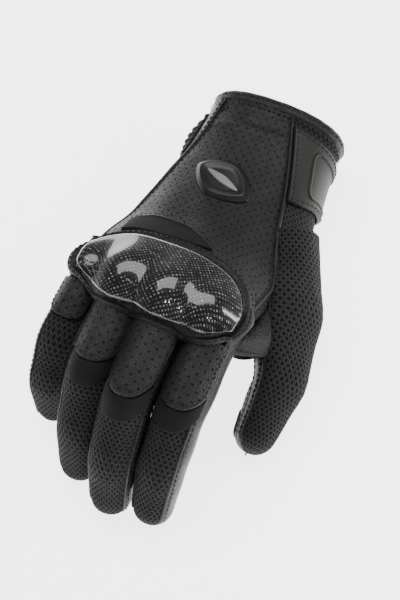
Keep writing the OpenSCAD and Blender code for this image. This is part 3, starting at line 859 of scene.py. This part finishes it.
def web_piping(a, b):
    """Piped loop where the side walls of two neighbouring fingers meet."""
    side = 1 if digits[a].X[0] > 0 else -1
    line = np.linspace(8, 36, 24)
    phi = math.radians(58) + 0.10 * smooth(26, 8, line)
    legs = []
    for n, sign, label in ((a, side, "outer"), (b, -side, "inner")):
        path, nrm = digits[n].track(line, sign * phi, 0.5)
        buf = Buf()
        ribbon(buf, path, nrm, 2.2, 1.2, M["leather"])
        place(buf.make(f"{n}_web_piping_{label}"), body=f"{n}_base")
        legs.append((path[0], nrm[0]))
    (p, p_nrm), (q, q_nrm) = legs
    t = np.linspace(0, math.pi, 17)[:, None]
    path = (p + q) / 2 + (p - q) / 2 * np.cos(t) + np.array([0, -4.0, 1.0]) * np.sin(t)
    nrm = unit(p_nrm * (1 - t / math.pi) + q_nrm * (t / math.pi) + np.array([0, 0, 1.0]))
    buf = Buf()
    ribbon(buf, path, nrm, 2.2, 1.3, M["leather"], step=0.7)
    place(buf.make(f"{a}_{b}_web_loop"))


for a, b in zip(FINGERS[:-1], FINGERS[1:]):
    web_piping(a, b)

# ---- hand panels

Y0, Y1 = CUFF_Y + 3.2, 58.0
# the back panel's seams seen from above: on the thumb's side, then on the little finger's
SEAM_Y = [-84, -76, -57, -43.5, -29, -14, 0, 12, 22, 60]
SEAM_X = [-9, -12, -19.5, -24.5, -29.5, -34, -39.5, -44.5, -47.3, -47.0]
OUT_Y = [-84, -60, -30, 0, 30, 60]
OUT_X = [27, 29, 35, 40, 43.5, 42]


def seam_angle(y, side):
    """Ring angle of the back panel's seam on the thumb's side (-1) or the little finger's (1)."""
    ys, xs = (SEAM_Y, SEAM_X) if side < 0 else (OUT_Y, OUT_X)
    return angle_of_x(curve(y, ys, xs), y)


PALM_A = math.radians(203)
OUTER_A = math.radians(-24)
OVERLAP = 0.012


def at_run(G, U, want):
    """One point from each row of grid G, where the run length U reaches want."""
    return np.array([[np.interp(w, u, g[:, k]) for k in range(3)] for g, u, w in zip(G, U, want)])


def panel(name, left, right, mat, hide, nu=90, thick=1.5, rows=(0, -1), relief=None):
    """Panel of the hand between two ring angles, given as functions of y, stitched along rows."""
    y = np.linspace(Y0, Y1, int((Y1 - Y0) / 1.1))
    t = np.linspace(0, 1, nu)
    A = left(y)[:, None] * (1 - t) + right(y)[:, None] * t
    P = loft(y[:, None] + 0 * A, A)
    d = edge_distance(P)
    h = edge_round(d, 1.4, thick)
    if relief is not None:
        h = h + relief(P, d)
    buf = Buf()
    outer, N = sheet(buf, P, loft_out(P), -1.5, h, mat, swell=0.25)
    U = run_length(P, 1)
    for side in rows:
        want = np.abs(U[:, side] - 2.0)
        stitches(buf, at_run(outer, U, want)[3:-3], at_run(N, U, want)[3:-3])
    place(buf.make(name), [hide])


def back_relief(P, d):
    """Soft tendon swells and wrist creases of worn leather."""
    x, y = P[..., 0], P[..., 1]
    creases = 0.45 * np.sin(y * 0.42 + 0.05 * x + 1.0) + 0.25 * np.sin(y * 0.9 - x * 0.08)
    wrist = np.exp(-((y + 66) / 9) ** 2) * creases
    fan = 0.5 * np.cos((x + 0.25 * y) * 0.26) * smooth(-40, 20, y)
    return (wrist + fan) * smooth(0, 5, d)


def palm_relief(P, d):
    """Two folds of the palm."""
    x, y = P[..., 0], P[..., 1]
    life = np.exp(-((x + 14 - 0.012 * (y + 10) ** 2 + 8) / 2.2) ** 2) * smooth(-36, -20, y)
    cross = np.exp(-((y - 22 - 0.12 * x) / 2.0) ** 2)
    return (-0.9 * life - 0.8 * cross) * smooth(0, 4, d)


def level(angle):
    return lambda y: np.full_like(y, angle)


panel("back_panel_cover", lambda y: seam_angle(y, -1), lambda y: seam_angle(y, 1), M["perf"],
      "back_panel", nu=110, relief=back_relief)
panel("thumb_side_cover", level(PALM_A), lambda y: seam_angle(y, -1) + OVERLAP, M["net"],
      "thumb_side_mesh", rows=(0,), thick=1.2,
      relief=lambda P, d: weave_relief(run_length(P, 1), run_length(P, 0), OPEN_PITCH, 0.3))
panel("outer_side_cover", lambda y: seam_angle(y, 1) - OVERLAP, level(OUTER_A), M["smooth"],
      "outer_side_panel", nu=50)
panel("palm_cover", level(PALM_A + OVERLAP), level(TAU + OUTER_A - OVERLAP), M["palm"],
      "palm_panel", nu=120, relief=palm_relief)

# piping along the two seams of the back panel
buf = Buf()
y = np.linspace(Y0 + 1, 56, 120)
for side, w, h, sink in ((-1, 2.2, 1.3, 1.0), (1, 1.6, 0.8, 0.8)):
    path = loft(y, seam_angle(y, side) - side * 0.006)
    ribbon(buf, path, loft_out(path), w, h, M["smooth"], sink=sink)
place(buf.make("hand_seam_piping"))


def wrist_stretch_panel():
    """Gathered stretch panel on the little finger's side of the wrist."""
    y, a = np.meshgrid(np.linspace(-68, -40, 50), np.radians(np.linspace(-62, 22, 60)), indexing="ij")
    P = loft(y, a)
    d = edge_distance(P)
    bulge = 3.4 * np.sin(np.clip((y + 68) / 28, 0, 1) * math.pi) * smooth(0, 7, d)
    gather = 0.45 * np.cos(y * 1.5) * smooth(0.5, 3, d)
    buf = Buf()
    height = edge_round(d, 1.2, 1.0) + bulge + gather
    outer, N = sheet(buf, P, loft_out(P), 0.1, height, M["stretch"], swell=0.1)
    for i in (2, -3):
        stitches(buf, outer[i, 3:-3], N[i, 3:-3])
    place(buf.make("wrist_stretch_panel"))


wrist_stretch_panel()


def finger_web():
    """Rounded front of the hand between the fingers."""
    a = np.linspace(0, TAU, 121)
    ring = loft(np.full_like(a, 57.0), a, -1.6)
    mid = ring.mean(axis=0)
    turn = np.linspace(0, math.pi / 2, 14)[:, None, None]
    P = mid + (ring - mid) * (np.cos(turn) ** 0.8 * 0.98 + 0.02) + np.array([0, 6.5, 0]) * np.sin(turn)
    buf = Buf()
    shell(buf, P, P - np.array([0, 1.0, 0]), M["smooth"], grid_uv(P))
    place(buf.make("finger_web"))


finger_web()


def thumb_web():
    """Leather between the thumb and the side of the hand: an outer and a palm sheet, piped in front."""
    tg = digits["thumb"]
    k = np.linspace(0, 1, 46)
    angle = np.radians(curve(k, [0, 0.6, 1], [205, 203, 203]))
    hand_edge = loft(curve(k, [0, 0.5, 1], [-12, 28, 60.5]), angle, -0.5)
    s = curve(k, [0, 0.5, 1], [8, 40, tg.at[1] + 27])
    C, _, X, Z = tg.frame(s)
    toward = hand_edge - C
    phi = np.arctan2(np.sum(toward * X, axis=1), np.sum(toward * Z, axis=1))
    t = np.linspace(0, 1, 40)[None, :, None]
    late = k[:, None, None]
    sag = np.sin(t * math.pi) * smooth(0, 0.25, late)
    buf = Buf()
    for face, turn in ((1.0, -0.30), (-1.0, 0.42)):
        G = hand_edge[:, None] * (1 - t) + tg.point(s, phi + turn, -0.3)[:, None] * t
        G = G + sag * np.array([0, 3.0, 0]) * smooth(0.3, 1, late) + sag * np.array([0, 0, 1.8 * face])
        G = G + 0.5 * sag * lumps(G, 1.8)[..., None] * np.array([0, 0, 1.0])
        sheet(buf, G, upward(G, face), -0.6, 1.3, M["smooth"])
        if face > 0:
            rim = G[-1] + [0, 0, 0.5]
    ribbon(buf, rim, unit(upward(rim) + np.array([0, 1.0, 0])), 2.2, 1.3, M["leather"])
    ob = buf.make("thumb_web")
    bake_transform(ob)


thumb_web()

# ---- cuff


def cuff_lining():
    """Lining seen inside the cuff, with soft folds."""
    y, a = np.meshgrid(np.linspace(CUFF_Y + 2.5, 30, 60), np.linspace(0, TAU, 121), indexing="ij")
    P = loft(y, a, -3.3)
    P = P + loft_out(P) * (0.35 * np.sin(a * 9 + 1) * np.sin(y * 0.12))[..., None]
    buf = Buf()
    shell(buf, P, P - loft_out(P) * 0.6, M["lining"], grid_uv(P))
    place(buf.make("cuff_lining"), ["hand_lining"])


def cuff_edge_tape():
    """Rolled tape round the cuff with a row of stitches on it and one beside it."""
    turn, a = np.meshgrid(np.linspace(0, TAU, 25), np.linspace(0, TAU, 181), indexing="ij")
    y = CUFF_Y + 3.0 - 3.2 * power(np.cos(turn), 0.7)
    P = loft(y, a, -1.3 + 1.9 * power(np.sin(turn), 0.8) + 0.1 * np.sin(a * 23))
    buf = Buf()
    q = quads(*P.shape[:2])
    fn = np.cross(P[7, 0] - P[6, 0], P[6, 1] - P[6, 0])
    buf.add(P, q if fn @ (P[6, 0] - P[18, 0]) > 0 else q[:, ::-1], M["leather"], grid_uv(P))
    a = a[0]
    for y, grow, lift in ((CUFF_Y + 2.4, 0.6, 0.05), (CUFF_Y + 7.8, 0.45, 0.1)):
        ring = loft(y, a, grow)
        stitches(buf, ring, loft_out(ring), lift=lift)
    place(buf.make("cuff_edge_tape"), ["cuff_binding"])


cuff_lining()
cuff_edge_tape()

# ---- guard

# the guard's ends, its edge towards the wrist, and the middle and reach of the lobe over each knuckle
GX0, GX1 = -47.0, 39.5
GU_X = [-47, -44, -40, -27, -8, 14, 32, 39.5]
GU_TOP = [46, 40, 35.5, 30.5, 28, 28.5, 32, 41]
LOBES = {"index": (-35, 66.5), "middle": (-12.5, 67.5), "ring": (11.5, 66.0), "pinky": (33, 61.5)}
KNUCKLE_AT = {n: joint_pos(f"{n}_knuckle") + [1.0, 2.0 if n != "pinky" else 3.0, 0] for n in FINGERS}


def tube_top(n, x, y, grow):
    """Height of the first length of a finger, as a straight tube that runs on into the hand."""
    dg = digits[n]
    p, d = dg.pts[0], dg.dirs[0]
    t = (y - p[1]) / d[1]
    xc, zc = p[0] + t * d[0], p[2] + np.maximum(t, -1.0) * d[2]
    r = dg.r[0] + grow
    u = np.clip(np.abs(x - xc) / r, 0, 0.97)
    return zc + r * np.sqrt(1 - u * u) / math.sqrt(1 - d[2] ** 2) - 0.02 * np.minimum(t, 0) ** 2


def cover_top(x, y):
    """Height of the back of the hand and the fingers together."""
    return soft_max([top(x, y) - smooth(52, 62, y) * 9] + [tube_top(n, x, y, 0.4) for n in FINGERS], 3.0)


def guard_low(x):
    """Scalloped front edge: one lobe per knuckle."""
    return soft_max([ly - 0.020 * (x - lx) ** 2 for lx, ly in LOBES.values()], 1.2)


def guard_xy(p, q):
    """p across from thumb side, q from the wrist edge to the front, both -1 to 1 on the guard."""
    pc = np.clip(p, -1, 1)
    squeeze = 1 - 0.10 * np.abs(np.clip(q, -1, 1)) ** 5
    x = (GX0 + GX1) / 2 + (GX1 - GX0) / 2 * (pc * squeeze)
    yt, yb = curve(x, GU_X, GU_TOP), guard_low(x)
    half = (yb - yt) / 2 * np.sqrt(np.maximum(1 - 0.75 * np.abs(pc) ** 6, 0.05))
    return x, (yt + yb) / 2 + half * np.clip(q, -1, 1)


def guard_height(x, y):
    """Height of the hard shell: crowned over the hand, with a bump over each knuckle."""
    crown = np.clip(1 - ((x + 4) / 50) ** 2, 0, 1)
    back = top(x, np.minimum(y, 50)) - 0.014 * np.maximum(y - 46, 0) ** 2 + 3.2
    edge = 0.00004 * np.abs(x + 4) ** 3
    z = soft_max([tube_top(n, x, y, 0.6) for n in FINGERS] + [back - edge], 2.6)
    z = z + 2.0 * crown * np.clip(1 - ((y - 44) / 26) ** 2, 0, 1)
    for kx, ky, _ in KNUCKLE_AT.values():
        wide = np.where(y < ky, 5.5 + 4.0 * smooth(26, 0, ky - y), 9.0)
        r2 = ((x - kx) / wide) ** 2 + ((y - ky) / np.where(y < ky, 14.0, 8.0)) ** 2
        z = z + 3.3 * np.exp(-r2 ** 1.1)
    return z


def knuckle_guard_shell():
    q, p = np.meshgrid(np.linspace(-1, 1, 120), np.linspace(-1, 1, 230), indexing="ij")
    x, y = guard_xy(p, q)
    P = np.stack([x, y, guard_height(x, y)], axis=-1)
    buf = Buf()
    sheet(buf, P, upward(P), 0.6, edge_round(edge_distance(P), 3.2, 2.9), M["carbon"])
    place(buf.make("knuckle_guard_shell"), ["knuckle_guard"])


knuckle_guard_shell()


def blur(v, times):
    """Even out a closed ring whose last point repeats its first."""
    for _ in range(times):
        core = v[:-1]
        core = (np.roll(core, 1, 0) + 2 * core + np.roll(core, -1, 0)) / 4
        v = np.concatenate([core, core[:1]])
    return v


def guard_ring():
    """Outline of the guard as a closed ring of even steps, and its outward directions, in x and y."""
    along, across = np.linspace(-1, 1, 160), np.linspace(-1, 1, 50)
    sides = [(along, -1.0 + 0 * along), (1.0 + 0 * across, across),
             (-along, 1.0 + 0 * along), (-1.0 + 0 * across, -across)]
    ring = np.concatenate([guard_xy(p, q) for p, q in sides], axis=1).T
    step = np.linalg.norm(np.diff(ring, axis=0), axis=1)
    ring = ring[np.concatenate([[True], step > 1e-3])]
    ring = np.concatenate([ring, ring[:1]])
    dist = np.concatenate([[0], np.cumsum(np.linalg.norm(np.diff(ring, axis=0), axis=1))])
    at = np.linspace(0, dist[-1], 321)
    ring = blur(np.stack([np.interp(at, dist, ring[:, k]) for k in range(2)], axis=1), 3)
    tangent = np.gradient(blur(ring, 12), axis=0)
    out = unit(np.stack([tangent[:, 1], -tangent[:, 0]], axis=1))
    if np.sum(out * (ring - ring.mean(axis=0))) < 0:
        out = -out
    return ring, unit(blur(out, 10))


SURROUND_W = 8.0


def guard_leather_surround():
    """Stitched leather round the guard with a raised piped ridge."""
    ring, out = guard_ring()
    reach = SURROUND_W * (1 - 0.45 * smooth(50, 58, ring[:, 1]))[None]
    k = np.linspace(-2.2, 1, 30)[:, None]
    off = k * np.where(k < 0, 1, reach)
    x, y = (ring[:, i] + out[:, i] * off for i in (0, 1))
    z = np.maximum(cover_top(x, y) - 0.6, guard_height(x, y) - 3.2 - 2.4 * np.maximum(k, 0))
    P = np.stack([x, y, z], axis=-1)
    h = 1.9 * edge_round(reach - off, 2.2, 1.0)
    h = h + 1.25 * np.exp(-((off - 0.55 * reach) / 0.85) ** 2) + 0.5 * np.exp(-((off - 0.6) / 0.7) ** 2)
    h = h + 1.2 * smooth(1.0, -1.0, off)
    buf = Buf()
    outer, N = sheet(buf, P, upward(P), 0.1, h, M["leather"], swell=0.12)
    for part in (0.28, 0.82):
        i = int(np.argmin(np.abs(k - part)))
        stitches(buf, outer[i], N[i], lift=0.1)
    place(buf.make("guard_leather_surround"), ["guard_surround", "knuckle_foam"])


guard_leather_surround()

# ---- stretch insert and badge

def flex_crescent():
    """Stretch insert on the wrist's side of the guard, with a smooth cord along its far edge."""
    x = np.linspace(-15.5, 34.5, 70)
    y_top = curve(x, [-15.5, -9, 5, 20, 30, 34.5], [18.3, 14.5, 9.2, 8.5, 11.0, 15])
    y_low = curve(x, [-15.5, -4, 12, 26, 34.5], [18.9, 20.5, 21.3, 22.0, 24.0])
    v = np.linspace(0, 1, 24)[:, None]
    Y = y_top * (1 - v) + y_low * v
    X = x + 0 * Y
    P = np.stack([X, Y, top(X, Y)], axis=-1)
    up = upward(P)
    buf = Buf()
    sheet(buf, P, up, 0.1, edge_round(edge_distance(P), 0.7, 1.3), M["stretch"], swell=0.05)
    stitches(buf, P[0] + [0, -1.8, 0.7], up[0], length=1.6, gap=0.8, r=0.22)
    ribbon(buf, P[0], up[0], 1.6, 1.9, M["smooth"])
    place(buf.make("flex_crescent"), ["flex_insert"])


flex_crescent()

BADGE = np.mean(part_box("wrist_badge"), axis=0)[:2] / MM
BADGE_TURN = math.radians(-20)


def diamond(half, turn, corner):
    """Outline of a turned diamond or square with rounded corners: offsets in x and y from its middle."""
    a = np.linspace(0, TAU, 97)
    lx, ly = half[0] * power(np.cos(a), 2 / corner), half[1] * power(np.sin(a), 2 / corner)
    c, s = math.cos(turn), math.sin(turn)
    return lx * c - ly * s, lx * s + ly * c


def lozenge(name, half, rise, rim, mat, node, base=0.1):
    """Moulded diamond lying on the back of the hand: rise is its height, rim that of its raised rim."""
    r = np.linspace(0.02, 1, 26)[:, None]
    lx, ly = diamond(half, BADGE_TURN, 1.45)
    X, Y = BADGE[0] + r * lx, BADGE[1] + r * ly
    P = np.stack([X, Y, top(X, Y)], axis=-1)
    h = rise * np.sqrt(np.maximum(1 - r ** 5, 0.01)) + 0 * X
    h = h + rim * np.exp(-((r - 0.78) / 0.08) ** 2) - rim * 0.9 * (1 - smooth(0.5, 0.72, r))
    buf = Buf()
    sheet(buf, P, upward(P), base, h, mat)
    place(buf.make(name), [node])


lozenge("plain_badge", (19.0, 12.5), 2.2, 0.7, M["badge"], "wrist_badge")
lozenge("plain_badge_bar", (12.0, 2.4), 1.4, 0.0, M["bar"], "badge_inlay", base=1.0)


# ---- wrist strap

STRAP_T = 1.9
STRAP_ROWS, STRAP_COLS = 60, 150


def strap_grid(inset=0.0):
    """Grid of the strap from its root on the back of the hand to its end under the wrist."""
    t = np.linspace(0, 1, STRAP_COLS)
    a = np.radians(curve(t, [0, 0.35, 0.6, 1.0], [112, 165, 205, 264]))
    y0 = curve(t, [0, 0.3, 0.6, 1], [-70, -69, -67, -65]) + inset
    y1 = curve(t, [0, 0.3, 0.6, 1], [-29, -34, -37, -40]) - inset
    half = (y1 - y0) / 2 * (1 - 0.35 * smooth(0.93, 1.0, t) ** 2)
    Y = (y0 + y1) / 2 + half * np.linspace(-1, 1, STRAP_ROWS)[:, None]
    root = angle_of_x(curve(Y[:, 0], SEAM_Y, SEAM_X) - 1.4, Y[:, 0])
    return loft(Y, a + (root - a[0])[:, None] * (1 - smooth(0, 0.45, t)))


def between_points(G, i, j):
    """Point of grid G at a row and a column that needn't be whole numbers."""
    a, b = min(int(i), G.shape[0] - 2), min(int(j), G.shape[1] - 2)
    f, g = i - a, j - b
    return (G[a, b] * (1 - f) * (1 - g) + G[a + 1, b] * f * (1 - g) + G[a, b + 1] * (1 - f) * g
            + G[a + 1, b + 1] * f * g)


def outline_path():
    """Rounded rectangle on the strap, as rows and columns of its grid."""
    i0, i1, j0, j1 = 9, STRAP_ROWS - 10, 26, 92
    r, bulge = 8, 6
    turn = [(math.cos(t), math.sin(t)) for t in np.linspace(0, math.pi / 2, 7)]
    path = [(i0, j) for j in range(j0 + r, j1, 4)]
    path += [(i0 + r - r * c, j1 + bulge * s) for c, s in turn]
    path += [(i, j1 + bulge) for i in range(i0 + r + 2, i1 - r, 3)]
    path += [(i1 - r + r * s, j1 + bulge * c) for c, s in turn]
    path += [(i1, j) for j in range(j1 - 4, j0 + r, -4)]
    path += [(i1 - r + r * c, j0 + r - r * s) for c, s in turn]
    path += [(i, j0) for i in range(i1 - r - 2, i0 + r, -3)]
    path += [(i0 + r - r * s, j0 + r - r * c) for c, s in turn]
    return path + path[:1]


def wrist_strap():
    """Strap with stitched edges, and a moulded outline on it."""
    P = strap_grid()
    buf = Buf()
    height = edge_round(edge_distance(P), 1.1, STRAP_T)
    outer, N = sheet(buf, P, loft_out(P), 0.7, height, M["strap"], swell=0.1)
    for row in (3, -4):
        stitches(buf, outer[row, 4:-4], N[row, 4:-4])
    stitches(buf, outer[3:-3, 4], N[3:-3, 4])
    place(buf.make("strap_tab_cover"), ["strap_tab"], "wrist_strap")
    path, nrm = ([between_points(G, *at) for at in outline_path()] for G in (outer, N))
    buf = Buf()
    ribbon(buf, path, nrm, 1.6, 0.7, M["strap"], ends=False)
    place(buf.make("strap_raised_outline"), ["strap_moulding"], "wrist_strap")


def hook_sheet(name, node, body, lift, t0, t1):
    """Half of the hook-and-loop closure, over the strap's length from t0 to t1."""
    G = strap_grid(inset=4.0)[:, int(t0 * (STRAP_COLS - 1)):int(t1 * (STRAP_COLS - 1))]
    buf = Buf()
    sheet(buf, G, loft_out(G), lift, edge_round(edge_distance(G), 0.5, 0.3), M["hook"])
    place(buf.make(name), [node], body)


wrist_strap()
hook_sheet("strap_hook_sheet", "hook_patch", "wrist_strap", 0.45, 0.62, 0.96)
hook_sheet("palm_loop_sheet", "loop_patch", "hand", 0.02, 0.55, 0.98)

# ---- palm heel pad

CHANNEL_GAP = 9.5
HEEL_ROWS = 30


def heel_pad():
    """Pad with sewn channels under the heel of the palm, that the glove rests on."""
    lo, hi = (np.array(c)[:2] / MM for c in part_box("palm_heel_patch"))
    cx, cy = (lo + hi) / 2
    r = np.linspace(0.02, 1, HEEL_ROWS)[:, None]
    lx, ly = diamond((hi - lo) / 2, 0, 3.6)
    X, Y = cx + r * lx, cy + r * ly
    palm = top(X, Y, -1)
    channel = [np.abs(X - cx - k * CHANNEL_GAP) for k in range(-2, 3)]
    low = np.minimum(0.15 + 2.6 * r ** 9, palm - 0.5)
    for away in channel:
        low = low + 0.9 * np.exp(-(away / 0.9) ** 2) * (1 - smooth(0.8, 0.95, r))
    P = np.stack([X, Y, low], axis=-1)
    Q = np.stack([X, Y, np.maximum(palm + 0.2, low + 0.3)], axis=-1)
    buf = Buf()
    shell(buf, P, Q, M["palm"], grid_uv(P))
    edge = P[int(HEEL_ROWS * 0.9)]
    stitches(buf, edge, upward(edge, -1.0), lift=-0.05)
    ob = buf.make("palm_heel_pad")
    free = np.zeros(buf.n, bool)
    free[:X.size] = ((np.min(channel, axis=0) > 1.2) & (r < 0.86)).ravel()
    puff(ob, free, 1.2)
    place(ob, ["palm_heel_patch", "heel_foam"])


heel_pad()

# ---- stage, light and camera

FLOOR = 1.6
g = Nodes("floor_paper")
paper = g.done((0.9, 0.9, 0.9), 0.95, g.noise(60, 2), 0.02, 0.0005, Emission_Color=(1, 1, 1, 1),
               Emission_Strength=3.4, Specular_IOR_Level=0.0)
me = bpy.data.meshes.new("floor")
me.from_pydata([(-FLOOR, -FLOOR, 0), (FLOOR, -FLOOR, 0), (FLOOR, FLOOR, 0), (-FLOOR, FLOOR, 0)], [],
               [(0, 1, 2, 3)])
me.materials.append(paper)
floor = bpy.data.objects.new("floor", me)
bpy.context.scene.collection.objects.link(floor)

world = bpy.data.worlds.new("studio")
bpy.context.scene.world = world
world.use_nodes = True
sky = world.node_tree.nodes["Background"]
sky.inputs[0].default_value = (1, 1, 1, 1)
sky.inputs[1].default_value = 0.24

# the photograph's view: direction to the camera, its right and up, and what it aims at, in metres
CAM = Vector((-0.332, 0.378, 0.864)).normalized()
RIGHT = Vector((-0.878, -0.460, -0.136))
RIGHT = (RIGHT - CAM * RIGHT.dot(CAM)).normalized()
UP = CAM.cross(RIGHT)
LENS, SENSOR = 100.0, 36.0
VIEW_H = 0.2993
AIM = RIGHT * -0.00916 + UP * -0.0151 + CAM * 0.048
cam_data = bpy.data.cameras.new("camera")
cam_data.lens, cam_data.sensor_width = LENS, SENSOR
cam = bpy.data.objects.new("camera", cam_data)
bpy.context.scene.collection.objects.link(cam)
rot = Matrix((RIGHT, UP, CAM)).transposed().to_4x4()
cam.matrix_world = Matrix.Translation(AIM + CAM * (VIEW_H * LENS / SENSOR)) @ rot
bpy.context.scene.camera = cam


def area(name, side, high, near, size, power, shape=(1.0, 1.0)):
    """Soft box placed by its offset in the camera's axes, aimed at the glove."""
    data = bpy.data.lights.new(name, "AREA")
    data.shape = "RECTANGLE"
    data.size, data.size_y = size * shape[0], size * shape[1]
    data.energy = power
    ob = bpy.data.objects.new(name, data)
    bpy.context.scene.collection.objects.link(ob)
    away = RIGHT * side + UP * high + CAM * near
    turn = away.to_track_quat("Z", "Y").to_matrix().to_4x4()
    ob.matrix_world = Matrix.Translation(AIM + away) @ turn


area("key_box", -0.12, 0.66, 0.56, 0.60, 9, (1.6, 0.9))
area("side_strip", 0.75, 0.1, 0.35, 0.3, 4, (0.4, 2.0))
area("low_fill", -0.5, -0.6, 0.5, 0.5, 2)
area("spark", -0.10, -0.12, 1.25, 0.05, 0.8)
area("spark_side", 0.14, -0.10, 1.25, 0.035, 0.5)
